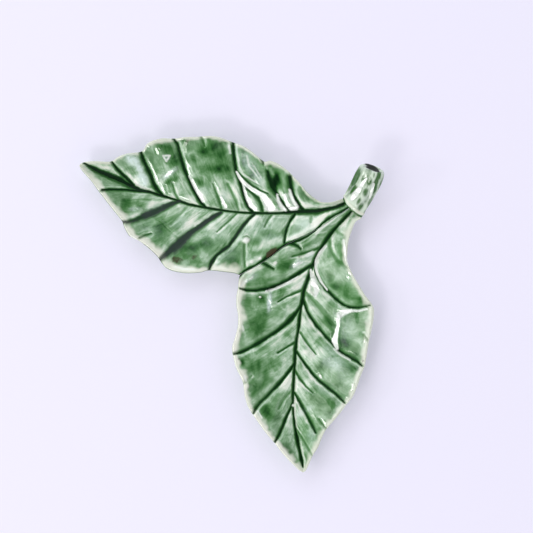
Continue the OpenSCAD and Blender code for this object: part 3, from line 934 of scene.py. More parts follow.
        half = (top - below) / 2 * np.sqrt(np.clip(1 - (1 - fade) ** 2, 0, 1))
        z = (top + below) / 2 + half * (1 - 2 * lower)
        on_top = 1 - smooth(*self.top_fade, lower)
        # Painted shade: a darker green line along the outermost edge, where the dish's side turns away into
        # shade; the cream band is taken off there.
        outer = line * smooth(*self.edge_shade_span, lower) * smooth(*self.edge_shade_fade, lower)
        numbers = self.glaze(places, t, from_edge / DRAWING_UNIT, ink, bank, band, cream) | {"ash": ash}
        numbers = {key: value * on_top for key, value in numbers.items()}
        numbers["glaze"] += self.under_glaze * (1 - on_top) + self.edge_shade_depth * outer
        numbers["rim"] *= 1 - outer
        numbers["under"] = smooth(*self.under_span, lower)
        across = np.where(far, t, -t)
        return Skin(np.column_stack([plan, z]), np.column_stack([along, across * 0.5 + 0.5]), numbers)

    def keel(self, s: np.ndarray) -> np.ndarray:
        """Finds the height of the midrib's top before its groove.

        Args:
            s: Shares along the midrib.

        Returns:
            The heights in metres.
        """
        lift = np.maximum(0, eased(s, self.keel_base)[:, 0])
        tip = np.maximum(0, eased(s, self.keel_tip)[:, 0])
        base_rise = self.base_channel * self.base_height - self.floor
        return self.floor + base_rise * lift + (self.tip_height - self.floor) * tip

    def carve(self, places: np.ndarray) -> tuple[np.ndarray, ...]:
        """Works out the grooves.

        Args:
            places: The points on the drawing.

        Returns:
            How deep the grooves are and how far the panels fall to them together, in metres, then their
            dark glaze, their pale banks and their ash, from 0 to 1.
        """
        cut, fall, ink, bank, ash = np.zeros((5, len(places)))
        uneven = 1 + ripples(places, self.ink_ripples)
        for groove in self.grooves:
            off, pale = groove.nearness(places)
            cut = np.maximum(cut, self.groove_cut * groove.height * MM * np.exp(-(off**4)))
            drop = min(1, groove.height / self.full_groove) * self.fall_share * self.panel_rise
            fall = np.maximum(fall, drop * bell(off, self.fall_reach))
            wide = max(point[2] for point in groove.points) > self.wide_groove
            off = off * uneven * (groove.slim if wide else 1)
            # On the lit pale side the dark halo is narrower and the bank paler, a one-sided painted
            # highlight; the banks also mark glaze thinning over them.
            haze = smooth(np.where(pale, self.pale_haze, self.haze_span[0]), self.haze_span[1], off)
            ink = np.maximum(ink, groove.ink * self.haze_ink * haze)
            ink = np.maximum(ink, groove.ink * self.ink_depth * smooth(*self.ink_span, off))
            beside = bell(off - self.bank_place, self.bank_width)
            bank = np.maximum(bank, groove.ink * beside * np.where(pale, 1, self.dark_bank))
            # painted reflection: how much grey veil lies in the grooves
            ash = np.maximum(ash, groove.ash * smooth(*self.groove_sheen_span, off))
        return cut + fall, ink, bank, ash

    def raised(self, places: np.ndarray) -> np.ndarray:
        """Height of the ridges and pearls of glaze at points on the drawing, in metres."""
        ridges = sum(ridge.height * MM * bell(ridge.nearness(places)[0], 1) for ridge in self.ridges)
        return ridges + sum(self.pearl_rise * pearl.dab(places) for pearl in self.pearls)

    def glaze(
        self, places: np.ndarray, t: np.ndarray, edge: np.ndarray, ink: np.ndarray, bank: np.ndarray,
        band: np.ndarray, cream: np.ndarray,
    ) -> dict[str, np.ndarray]:
        """Works out the numbers that the glaze reads.

        Args:
            places: The points on the drawing.
            t: Their shares along their ribs.
            edge: Their distances from the edge on the drawing.
            ink: How dark the grooves make them.
            bank: How near they are to a groove's pale bank.
            band: How wide the cream band on the rim is there, on the drawing.
            cream: How strong the cream band is.

        Returns:
            The numbers by name, each for every point.
        """
        count = len(places)
        patchy = 1 + ripples(places, self.bank_ripples)
        thick = self.panel_glaze + self.rim_glaze * smooth(*self.rim_span, t)
        # Banks beside the grooves are paler: thin glaze over them, and on the lit side painted highlight.
        thick -= self.bank_glaze * bank * patchy
        thick += sum(spot.dab(places) for spot in self.spots)
        thick = np.maximum(thick + 0.2 * ink, ink * self.ink_glaze)
        pearl = strongest(count, (dot.cover(places) for dot in self.pearls))
        # Painted highlight: the pale strokes mark thin glaze over sharp edges and also paint in the window's
        # reflections; the glaze beads get painted white highlights.
        bald = strongest(count, (line.gleam(places) for line in self.breaks_and_highlights))
        outer, inner = (share * band * (1 + ripples(places, self.rim_ripples)) for share in self.band_span)
        return {
            "glaze": thick * (1 - pearl),
            "ink": ink * (1 - pearl),
            "bald": np.maximum(bald, self.pearl_highlight * pearl),
            "rim": np.maximum(cream * smooth(outer, inner, edge), pearl),
            "rust": strongest(count, (spot.dab(places) for spot in self.rust)),
            # painted sheen: milky reflections painted in as pale bluish colour
            "milk": strongest(count, (spot.dab(places) for spot in self.milk)),
            "dull": np.minimum(1, strongest(count, (spot.dab(places) for spot in self.dull))),
            "streak": 1 - smooth(*self.streak_span, t) * self.streak_loss,
        }

    def build(self) -> bpy.types.Object:
        """Builds, dresses and reports the blade.

        Returns:
            The finished piece.
        """
        made = shaped_grid(f"{self.node}_glazed", self.columns, int(self.marks()[-1]) + 1, self.skin)
        made.data.materials.append(LeafGlaze(streaks=self.streaks).material(f"{self.node}_glaze"))
        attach(made, "root")
        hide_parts(self.node)
        log.info("%s: %d faces", made.name, len(made.data.polygons))
        return made


# Tables of the two blades

LEFT_LENGTH = 174 * MM
LOWER_LENGTH = 170 * MM
LEFT_WIDTH = 88 * MM
LOWER_WIDTH = 91 * MM

LEFT_MIDRIB = (
    (0.14, 0.14, -0.030), (0.36, 0.36, -0.036), (0.54, 0.54, 0.000), (0.67, 0.67, 0.068),
    (0.85, 0.85, 0.192), (0.95, 0.95, 0.268), (1, 1, 0.302),
)
LOWER_MIDRIB = (
    (0.07, 0.07, -0.085), (0.165, 0.165, -0.210), (0.29, 0.29, -0.310), (0.44, 0.44, -0.355),
    (0.64, 0.64, -0.390), (0.80, 0.80, -0.393), (0.925, 0.925, -0.356), (1, 1, -0.335),
)
LEFT_UPPER = Side(
    edge=(
        (0.050, 0.074, 0.037, 0), (0.085, 0.113, 0.042, 0), (0.130, 0.161, 0.111, 0),
        (0.155, 0.184, 0.167, 0), (0.190, 0.231, 0.265, 0), (0.210, 0.266, 0.316, 0),
        (0.228, 0.297, 0.339, 0), (0.243, 0.318, 0.331, 0), (0.275, 0.361, 0.399, 0),
        (0.310, 0.396, 0.446, 0), (0.351, 0.436, 0.474, 0), (0.395, 0.479, 0.507, 0),
        (0.430, 0.514, 0.5186, 0), (0.465, 0.562, 0.513, 0), (0.500, 0.608, 0.511, 0),
        (0.531, 0.652, 0.500, 0), (0.580, 0.692, 0.502, 0), (0.625, 0.727, 0.486, 0),
        (0.655, 0.752, 0.458, 0), (0.675, 0.763, 0.418, 0), (0.699, 0.779, 0.402, 0),
        (0.750, 0.821, 0.393, 0), (0.790, 0.854, 0.370, 0), (0.827, 0.880, 0.337, 0),
        (0.865, 0.904, 0.332, 0), (0.915, 0.941, 0.337, 0), (0.960, 0.978, 0.331, 0),
        (0.985, 0.994, 0.318, 0),
    ),
    rims=(
        (0.08, 0.86), (0.18, 0.90), (0.235, 0.92), (0.29, 1), (0.35, 0.94), (0.44, 1), (0.53, 0.92),
        (0.61, 0.98), (0.70, 0.88), (0.76, 0.94), (0.83, 0.86), (0.92, 0.88),
    ),
    bows=((0, 0), (0.18, 0.07), (0.35, 0.056), (0.53, 0.037), (0.70, 0), (1, 0)),
    bend=-1, corner=0, rim_band=2.6, rim_cream=0.75,
)
LEFT_LOWER = Side(
    edge=(
        (0.318, 0.432, -0.482, 1), (0.336, 0.463, -0.474, 0.8), (0.354, 0.521, -0.461, 0.5),
        (0.385, 0.554, -0.476, 0.3), (0.420, 0.605, -0.482, 0.1), (0.445, 0.652, -0.468, 0),
        (0.460, 0.683, -0.441, 0), (0.472, 0.701, -0.395, 0), (0.500, 0.716, -0.353, 0),
        (0.535, 0.746, -0.297, 0), (0.570, 0.781, -0.246, 0), (0.605, 0.817, -0.209, 0),
        (0.622, 0.835, -0.148, 0), (0.638, 0.843, -0.104, 0), (0.665, 0.875, -0.023, 0),
        (0.700, 0.904, 0.051, 0), (0.738, 0.930, 0.118, 0), (0.810, 0.956, 0.189, 0),
        (0.880, 0.979, 0.240, 0), (0.950, 0.994, 0.277, 0),
    ),
    rims=(
        (0.08, 0.78), (0.18, 0.72), (0.30, 0.74), (0.354, 0.72), (0.42, 0.80), (0.472, 0.74), (0.55, 0.82),
        (0.636, 0.76), (0.69, 0.82), (0.74, 0.80), (0.88, 0.86),
    ),
    bows=((0, 0), (0.20, 0.08), (0.354, 0), (0.472, 0.01), (0.636, -0.03), (0.74, 0.02), (1, 0)),
    bend=1, seam=((0, 0), (0.10, 0.27), (0.199, 0.60), (0.25, 0.80), (0.30, 1)), rim_band=5.0, rim_cream=0.9,
    edge_shade_line=1.0,
)
LOWER_LEFT = Side(
    edge=(
        (0.200, 0.275, -0.790, 1), (0.213, 0.304, -0.795, 0.9), (0.250, 0.335, -0.806, 0.6),
        (0.285, 0.374, -0.805, 0.3), (0.320, 0.411, -0.794, 0.1), (0.340, 0.449, -0.796, 0),
        (0.356, 0.491, -0.815, 0), (0.366, 0.526, -0.836, 0), (0.378, 0.557, -0.831, 0),
        (0.450, 0.607, -0.808, 0), (0.500, 0.642, -0.775, 0), (0.530, 0.668, -0.757, 0),
        (0.560, 0.713, -0.747, 0), (0.575, 0.750, -0.727, 0), (0.592, 0.783, -0.690, 0),
        (0.660, 0.846, -0.607, 0), (0.736, 0.888, -0.540, 0), (0.820, 0.929, -0.482, 0),
        (0.900, 0.963, -0.421, 0), (0.970, 0.993, -0.362, 0),
    ),
    rims=(
        (0.06, 0.78), (0.12, 0.72), (0.19, 0.74), (0.215, 0.78), (0.29, 0.88), (0.37, 0.82), (0.48, 0.90),
        (0.59, 0.82), (0.66, 0.88), (0.736, 0.82), (0.88, 0.86),
    ),
    bows=((0, 0), (0.14, 0.03), (0.213, 0.115), (0.376, 0.07), (0.59, 0.01), (1, 0)),
    bend=-1, seam=((0, 0), (0.07, 0.35), (0.14, 0.70), (0.19, 1)), rim_band=4.2, rim_cream=0.95,
    edge_shade_line=0.35,
)
LOWER_RIGHT = Side(
    edge=(
        (0.030, 0.056, 0.036, 0), (0.060, 0.086, 0.011, 0), (0.090, 0.127, -0.013, 0),
        (0.115, 0.162, -0.021, 0), (0.130, 0.200, -0.022, 0), (0.143, 0.231, -0.004, 0),
        (0.155, 0.263, 0.026, 0), (0.170, 0.298, 0.063, 0), (0.185, 0.330, 0.099, 0),
        (0.200, 0.360, 0.143, 0), (0.215, 0.382, 0.165, 0), (0.260, 0.428, 0.160, 0),
        (0.295, 0.470, 0.144, 0), (0.325, 0.513, 0.127, 0), (0.345, 0.556, 0.115, 0),
        (0.362, 0.600, 0.099, 0), (0.420, 0.639, 0.070, 0), (0.470, 0.682, 0.042, 0),
        (0.510, 0.717, 0.014, 0), (0.540, 0.747, -0.032, 0), (0.585, 0.768, -0.060, 0),
        (0.630, 0.805, -0.118, 0), (0.655, 0.834, -0.165, 0), (0.672, 0.852, -0.187, 0),
        (0.694, 0.878, -0.209, 0), (0.740, 0.903, -0.227, 0), (0.819, 0.937, -0.266, 0),
        (0.890, 0.963, -0.288, 0), (0.960, 0.992, -0.314, 0),
    ),
    rims=(
        (0.06, 0.82), (0.13, 0.82), (0.18, 0.96), (0.215, 0.90), (0.30, 1), (0.36, 0.90), (0.46, 0.96),
        (0.54, 0.86), (0.62, 0.92), (0.694, 0.84), (0.76, 0.88), (0.819, 0.84), (0.92, 0.88),
    ),
    bows=((0, 0), (0.143, 0.1), (0.215, 0.21), (0.355, 0.085), (0.54, 0.03), (0.694, 0), (1, 0)),
    bend=1, corner=1, rim_band=3.6, rim_cream=0.75,
)

SEAM_GROOVE = Stroke((
    (351, 206, 1.1), (346, 209, 1.2), (341, 212, 1.6), (335, 215, 1.7), (328, 219, 2), (322, 224, 1.5),
    (315, 231, 1.3), (307, 236.5, 1.5), (299, 240.5, 1.6), (292, 242.3, 2.1), (286, 244.5, 2.5),
    (281, 247.5, 2.2), (276, 251, 2.7), (269, 256, 2.6), (262, 261, 1.9), (255, 265.5, 1.5), (249, 268.2, 2),
    (244, 271, 1.8), (241, 274.5, 2.5), (239, 277, 2.3),
), 1.3, slim=1.8)

LEFT_GROOVES = (
    Stroke((
        (84, 163, 1.3), (92, 167.5, 2.9), (100, 171.5, 3.6), (110, 175.5, 4.2), (120, 179.5, 4.5),
        (130, 185.5, 3.6), (140, 190, 2.2), (150, 192, 1.7), (160, 195, 1.7), (170, 197.8, 1.4),
        (178, 200.3, 1.8), (188, 204, 1.6), (200, 206.5, 1.3), (215, 209, 1.4), (230, 211.3, 1.2),
        (245, 212.6, 1.4), (262, 213, 1.3), (280, 213, 1.5), (295, 211.5, 2.4), (305, 211.3, 3.6),
        (316, 211, 3), (326, 209.3, 2), (336, 207, 1.8), (343, 204, 2), (349, 200, 1.6),
    ), 1.7, ash=0.2, slim=1.5),
    Stroke(((112, 162, 1.2), (118, 170, 1.9), (126, 177.5, 2.4), (133, 185, 2.2)), 1.2),
    Stroke((
        (141, 152.5, 2), (143.5, 160, 2.2), (147.5, 168, 2.4), (151, 176, 2.4), (154, 184, 2.2),
        (158, 190.5, 2), (162, 195, 1.8),
    ), 1.5),
    Stroke((
        (173.5, 138.5, 1.4), (177.5, 144, 1.9), (179.5, 152, 1.9), (182, 161, 2), (184.5, 169, 1.9),
        (188, 178, 1.8), (192, 186.5, 1.9), (197, 195.5, 1.9), (201.5, 203, 1.9), (205, 206.5, 1.6),
    ), 1.5),
    Stroke(((201.5, 137.5, 1.4), (203, 141, 1.5), (204.5, 146, 1)), 0.7, 0.75),
    Stroke((
        (233, 142, 1.9), (233.5, 150, 2), (234.5, 160, 2), (236, 170, 2), (239.5, 180, 1.7),
        (242.3, 190, 1.6), (244.5, 198, 1.7), (248, 206, 1.8), (252, 211.5, 1.7),
    ), 1.5),
    Stroke((
        (237, 171, 1), (243, 177.5, 1.5), (252, 185.5, 1.7), (261, 191, 1.3), (268, 193.5, 0.8),
    ), 0.9, 0.85),
    Stroke((
        (245, 187, 0.8), (252, 193, 1.1), (258, 198, 1.4), (261, 204, 1.3), (262.5, 211, 1.2),
    ), 0.8, 0.85),
    Stroke((
        (267.5, 171.5, 1.8), (269.5, 178, 2.8), (272.5, 186, 3.4), (276, 192.5, 2.4), (281, 200, 1.5),
        (285, 205.5, 1.4), (290, 210.5, 1.3),
    ), 1.2),
    Stroke((
        (290, 177, 2.6), (290.7, 185, 3.2), (292.5, 192, 2), (296, 200, 2), (300, 206.5, 2.4),
        (304, 211, 2.8),
    ), 1.2),
    Stroke(((261.5, 156.5, 1.6), (262.3, 160, 1.6), (263.5, 164, 1.1)), 0.7, 0.95),
    Stroke(((213, 184, 0.8), (216, 192, 1.2), (219, 200, 1.2), (221.5, 208, 1)), 0.7, 0.7),
    Stroke(((227.5, 184, 1.3), (232, 193, 2.2), (236, 202, 1.8), (238.5, 210, 1)), 0.8, 0.62),
    Stroke(((172.5, 184, 0.8), (174.5, 192, 1.2), (178, 199, 1.2)), 0.6, 0.65),
    Stroke(((165, 186, 0.7), (167.5, 195, 0.9)), 0.4, 0.4),
    Stroke(((305, 187, 1), (312, 196, 1.2), (318, 205, 1)), 0.4, 0.35),
    Stroke(((102, 190, 1.2), (110, 189.3, 1.3), (125, 189.6, 1.3), (138, 191, 1.2), (150, 192.3, 0.8)), 0.8),
    Stroke((
        (122, 221.5, 1.4), (127, 222, 2.2), (136, 219.5, 3.2), (145, 216, 4.2), (155, 211.5, 4.4),
        (165, 207, 3.4), (173, 203, 2.6), (180, 200.8, 1.6),
    ), 1.4, 0.92, 1, 0.85),
    Stroke((
        (160, 259.5, 1.8), (166, 254.5, 3.2), (172, 249.3, 4.6), (178, 244, 4.8), (184, 238.5, 4.6),
        (190, 233.3, 3.9), (198, 227.8, 3.4), (205, 223, 2.6), (212, 218, 2.2), (221, 212.6, 1.8),
    ), 1.5, 0.92, 1, 0.85),
    Stroke((
        (255, 213.7, 1.3), (249, 219.3, 1.6), (243, 226, 1.8), (238, 233, 1.9), (233.5, 240, 1.9),
        (229, 246, 1.8), (222, 251, 1.5), (216, 256, 1.6), (212, 262, 1.8), (209.3, 269, 1.5),
    ), 1.3, ash=0.4),
    Stroke((
        (295, 214, 1.8), (290.5, 220.5, 1.7), (287, 228, 1.7), (285.3, 235, 1.6), (284.5, 243, 1.6),
    ), 1.3, slim=1.4),
    Stroke(((237, 213, 0.9), (230, 220, 1), (223, 226.3, 0.9), (217, 232, 0.6)), 0.6, 0.7),
    Stroke(((272, 214, 1.2), (267.5, 220.5, 1.1), (264.5, 227, 0.7)), 0.7, 0.7),
    Stroke(((311.5, 213, 1.8), (310.8, 222, 1.3)), 0.6, 0.5),
    Stroke(((188, 206, 1), (180, 215, 1.3), (171, 224, 1.5)), 0.5, 0.35),
    Stroke(((244.2, 243.5, 1.2), (244, 252, 1.2), (244.3, 260, 0.9), (245, 267, 1.2)), 0.6, 0.7),
    Stroke(((139.5, 237.7, 0.9), (145, 235.3, 1.2), (151, 233.5, 0.8)), 0.8, 0.8),
    Stroke(((243.2, 238.6, 0.7), (244.4, 236.8, 0.8), (246.6, 236.2, 0.8), (249, 237.4, 0.7)), 0.3, 0.75),
    Stroke((
        (144, 219, 0.5), (153, 218, 0.5), (161, 222.5, 0.5), (169, 230.5, 0.6), (177, 237.5, 0.7),
    ), 0.35, 0.4),
    Stroke(((200, 213, 0.5), (188, 221, 0.5)), 0.3, 0.3),
    SEAM_GROOVE,
)
LEFT_RIDGES = (
    Stroke(((147, 183, 3), (143, 175, 4), (137, 166, 4), (132, 158, 4)), 0.5),
    Stroke(((160, 148, 1.8), (162, 153, 1.8)), 0.4),
)
LEFT_FACETS = (
    Facet(((236, 172, 1.5), (241, 179, 2.2), (249, 187, 2.6), (258, 192, 2.8), (265, 195.5, 3.2))),
    Facet(((264, 197, 3), (269, 202, 5.2), (272, 207, 5))),
    Facet(((277.5, 196, 1), (278.5, 201, 1.6), (281, 206, 1.8), (285, 209.5, 1.4))),
    Facet(((285, 195.5, 1.2), (285.5, 201, 1.5), (287, 206.5, 1.6))),
    Facet(((289, 208.8, 1.5), (293, 209, 1.6), (297, 207.5, 1.6))),
    Facet(((289.8, 190, 0.9), (291, 196.5, 1.8), (294.5, 204, 2))),
    Facet(((245, 188, 1.3), (247, 196, 1.6), (251, 204, 2.4), (255, 209, 2.6))),
    Facet(((184.5, 155, 1.2), (187, 165, 1.8), (190, 174, 2))),
    Facet(((192.5, 180, 2), (197, 190, 2.2), (202, 199, 2.2), (206, 205, 1.5))),
    Facet(((221, 197, 1.6), (223.5, 202, 2.2), (226, 207, 1.6))),
    Facet(((163, 178, 1.6), (169, 173.5, 2.2), (176, 168.5, 1.6))),
    Facet(((156, 149, 1.6), (158, 153, 2))),
    Facet(((146, 145, 1.5), (149, 147, 1.4))),
    Facet(((132, 210, 1), (137, 208.5, 1.3), (142, 209.5, 1))),
)
# Pale strokes: thin glaze breaking over sharp edges, and painted highlights where the glaze mirrors a window.
LEFT_BREAKS_AND_HIGHLIGHTS = (
    Stroke((
        (236.7, 172, 0.9), (240, 178, 1.4), (244.5, 183.5, 1.8), (251, 188.6, 1.7), (258, 192.5, 1.7),
        (264, 196, 2.2),
    ), 0),
    Stroke((
        (243.5, 184, 1.1), (244.6, 191, 1), (247, 199, 1.1), (250.5, 206, 1.3), (255, 208.8, 1.8),
    ), 0, 0.9),
    Stroke(((263.5, 197, 2.4), (267.5, 202.5, 4.2), (270, 208, 3.6)), 0, 0.95),
    Stroke(((266, 209, 1.4), (272, 209.5, 1.2), (277, 209.8, 0.9)), 0, 0.8),
    Stroke(((277.2, 194.5, 0.9), (278.4, 201, 1.5), (281, 206.3, 1.9), (285.5, 210.2, 1.3)), 0),
    Stroke((
        (285.3, 194.5, 1), (285.8, 200, 1.3), (287.5, 205.5, 1.2), (291, 209.3, 1.3), (296.5, 208.6, 1.5),
    ), 0),
    Stroke(((289.7, 189.5, 0.9), (290.6, 195, 1.6), (293.5, 201.5, 1.6), (297, 207, 1.7)), 0),
    Stroke(((221.5, 197, 0.9), (223.3, 203, 1.5), (226, 207.5, 1.1)), 0, 0.8),
    Stroke(((189.5, 176, 1), (193.5, 185, 1), (198.5, 194.5, 1), (203, 201.5, 1)), 0, 0.7),
    Stroke(((229, 145, 1), (230.2, 153, 1)), 0, 0.6),
    Stroke(((131, 236, 0.8), (137, 240, 0.9), (143, 244.5, 0.8)), 0, 0.7),
    Stroke(((175, 266.5, 0.8), (184, 269, 0.9), (194, 269.5, 0.8)), 0, 0.6),
    Stroke(((98, 193, 0.7), (104, 202, 0.8), (110, 210, 0.8)), 0, 0.6),
    Stroke(((163, 156, 0.8), (170, 155.6, 0.8), (166.5, 161.5, 0.8), (163, 156, 0.8)), 0, 0.7),
    Stroke((
        (238.3, 158, 0.8), (239, 166, 0.9), (242.5, 173.5, 0.9), (250.5, 179.2, 0.8), (259.4, 184.4, 0.7),
    ), 0, 0.5),
    Stroke(((247, 156, 0.7), (249, 166, 0.9), (254, 172, 0.7), (259, 179, 0.7)), 0, 0.5),
    Stroke(((252, 163, 0.6), (257, 171, 0.7), (262, 179, 0.6)), 0, 0.35),
)
# Painted sheen: milky reflections of the room on the left blade, painted in as pale bluish spots.
LEFT_PAINTED_SHEEN = (
    Spot(133, 161, 8.5, 4.6, -42, 1.6), Spot(140, 169, 4.5, 3.6, -60, 1.4), Spot(143, 179.5, 8, 5, -75, 1.6),
    Spot(169.5, 173.8, 9, 2, 38, 0.9), Spot(249, 164, 14, 7, -62, 0.55), Spot(258, 178, 8, 4, -55, 0.6),
    Spot(135, 209, 6, 2, 0, 0.5), Spot(270, 238, 10, 5, 10, 0.3), Spot(167, 158, 3, 3, 0, 0.5),
    Spot(304, 224, 8, 5, 20, 0.4), Spot(180, 222, 9, 5, 40, 0.25), Spot(156, 208, 10, 3, 20, 0.3),
    Spot(236, 150, 2, 7, 0, 0.5), Spot(204, 192, 5, 7, -60, 0.35), Spot(224, 196, 3, 6, 0, 0.4),
    Spot(215, 234, 26, 12, 35, 0.12), Spot(262, 226, 24, 10, 20, 0.24), Spot(228, 256, 14, 7, 20, 0.16),
    Spot(150, 230, 16, 8, -30, 0.15),
)
LEFT_DULL = (
    Spot(192, 248, 10, 6, 15, 0.8), Spot(157, 227, 9, 7, -30, 0.8),
    Spot(250, 166, 14, 9, -60, 1.6), Spot(263, 162, 10, 7, -35, 1.8), Spot(279, 181, 6, 12, 5, 2.2),
    Spot(230, 184, 8, 5, -60, 1.2), Spot(134, 164, 9, 6, -55, 0.5), Spot(139, 180, 8, 5, -70, 0.9),
    Spot(184, 150, 3, 8, 0, 0.8), Spot(208, 146, 6, 8, 0, 1.3), Spot(171, 189, 6, 5, 0, 0.9),
)
LEFT_SPOTS = (
    Spot(128, 203, 9, 6, 20, 0.26), Spot(118, 197, 8, 3, -30, 0.12), Spot(140, 208, 8, 4, 10, 0.14),
    Spot(160, 229, 7, 8, -40, 0.26), Spot(150, 225, 9, 4, 0, 0.18), Spot(166, 240, 5, 5, 0, 0.16),
    Spot(175, 222, 8, 8, 45, 0.18), Spot(192, 247, 10, 5, 20, 0.28), Spot(208, 243, 12, 6, 5, 0.22),
    Spot(228, 256, 9, 6, 20, 0.2), Spot(234, 262, 6, 4, 0, 0.12), Spot(267, 233, 10, 4, 0, 0.16),
    Spot(258, 228, 6, 6, 0, 0.06), Spot(216, 149, 11, 8, 0, 0.24), Spot(218, 169, 13, 4.5, 0, 0.34),
    Spot(222, 160, 8, 8, 0, 0.16), Spot(194, 158, 5, 3, -50, 0.3), Spot(189, 143, 5, 7, 10, 0.16),
    Spot(202, 152, 6, 5, 0, 0.16), Spot(200, 183, 6, 3, -40, 0.28), Spot(230, 180, 8, 3.5, -60, 0.12),
    Spot(165, 148, 9, 6, 10, 0.22), Spot(176, 158, 6, 8, 0, 0.16), Spot(160, 161, 8, 7, 0, 0.18),
    Spot(171, 181, 8, 3, 25, 0.26), Spot(152, 158, 5, 8, -20, 0.08), Spot(124, 165, 5, 6, -60, 0.06),
    Spot(243, 162, 4.5, 6, 0, 0.26), Spot(255, 170, 9, 12, -40, 0.13), Spot(277, 181, 4.5, 8, 5, 0.34),
    Spot(272, 169, 8, 5, -20, 0.14), Spot(302, 193, 5, 9, 50, 0.14), Spot(256, 186, 8, 3, -35, 0.14),
    Spot(245, 153, 6, 4, -30, 0.08), Spot(105, 167, 9, 3, -15, -0.14), Spot(95, 178, 10, 3, -55, -0.12),
    Spot(150, 204, 14, 3, 8, -0.12), Spot(190, 222, 12, 3, 40, -0.12), Spot(170, 213, 10, 3, 30, -0.1),
    Spot(246, 222, 8, 3, 45, -0.04), Spot(262, 247, 14, 4, 15, -0.16), Spot(275, 241, 8, 5, 20, -0.12),
    Spot(300, 235, 12, 4, 25, -0.16), Spot(302, 222, 10, 5, 10, -0.02), Spot(325, 214, 10, 2, 22, -0.14),
    Spot(192, 198, 5, 4, -40, -0.14), Spot(155, 186, 4, 5, -60, -0.08), Spot(218, 182, 6, 8, -60, -0.1),
    Spot(228, 150, 3, 10, 0, -0.12), Spot(184, 240, 6, 2, 45, -0.02), Spot(215, 262, 7, 2.5, 0, -0.08),
    Spot(160, 158, 8, 8, 0, -0.12), Spot(190, 250, 12, 6, 15, 0.18), Spot(317, 222, 16, 6, 22, -0.12),
    Spot(216, 235, 14, 7, 10, -0.05), Spot(262, 246, 14, 5, 20, -0.14), Spot(130, 205, 10, 6, 0, -0.06),
    # The first two spots on the next line lighten the glaze as painted sheen.
    Spot(134, 162, 6, 4, -50, -0.22), Spot(143, 179, 7, 4, -72, -0.24), Spot(276.5, 182, 4, 9, 8, 0.3),
    Spot(312, 227, 14, 5, 34, -0.24), Spot(325, 215.5, 12, 2.6, 32, -0.24), Spot(253, 197, 6, 8, -60, -0.12),
    Spot(295, 236.5, 10, 3, 25, -0.26), Spot(284, 240, 6, 3, 20, -0.2), Spot(256, 259, 8, 3.4, 35, -0.24),
    Spot(246, 264, 6, 3, 30, -0.24), Spot(262, 205, 3, 5, 0, 0.1),
    Spot(200, 266, 18, 3, 0, -0.06), Spot(330, 203, 10, 2, 5, -0.2), Spot(250, 200, 4, 6, -50, -0.12),
)
LEFT_RUST = (
    Spot(177, 260, 8, 4.5, -10, 0.85), Spot(194, 257, 6, 3.5, 20, 0.7), Spot(187, 142, 3, 6, 0, 0.55),
    Spot(271, 252.5, 7.5, 3.4, 38, 1.3), Spot(161, 261, 2.5, 1.5, 0, 0.5),
)
LEFT_PEARLS = (
    Spot(246, 240, 3.1, 2.6, 20, 1), Spot(251.5, 261.7, 1.3, 1.3, 0, 0.6), Spot(260, 258.4, 1.1, 1.1, 0, 0.6),
)

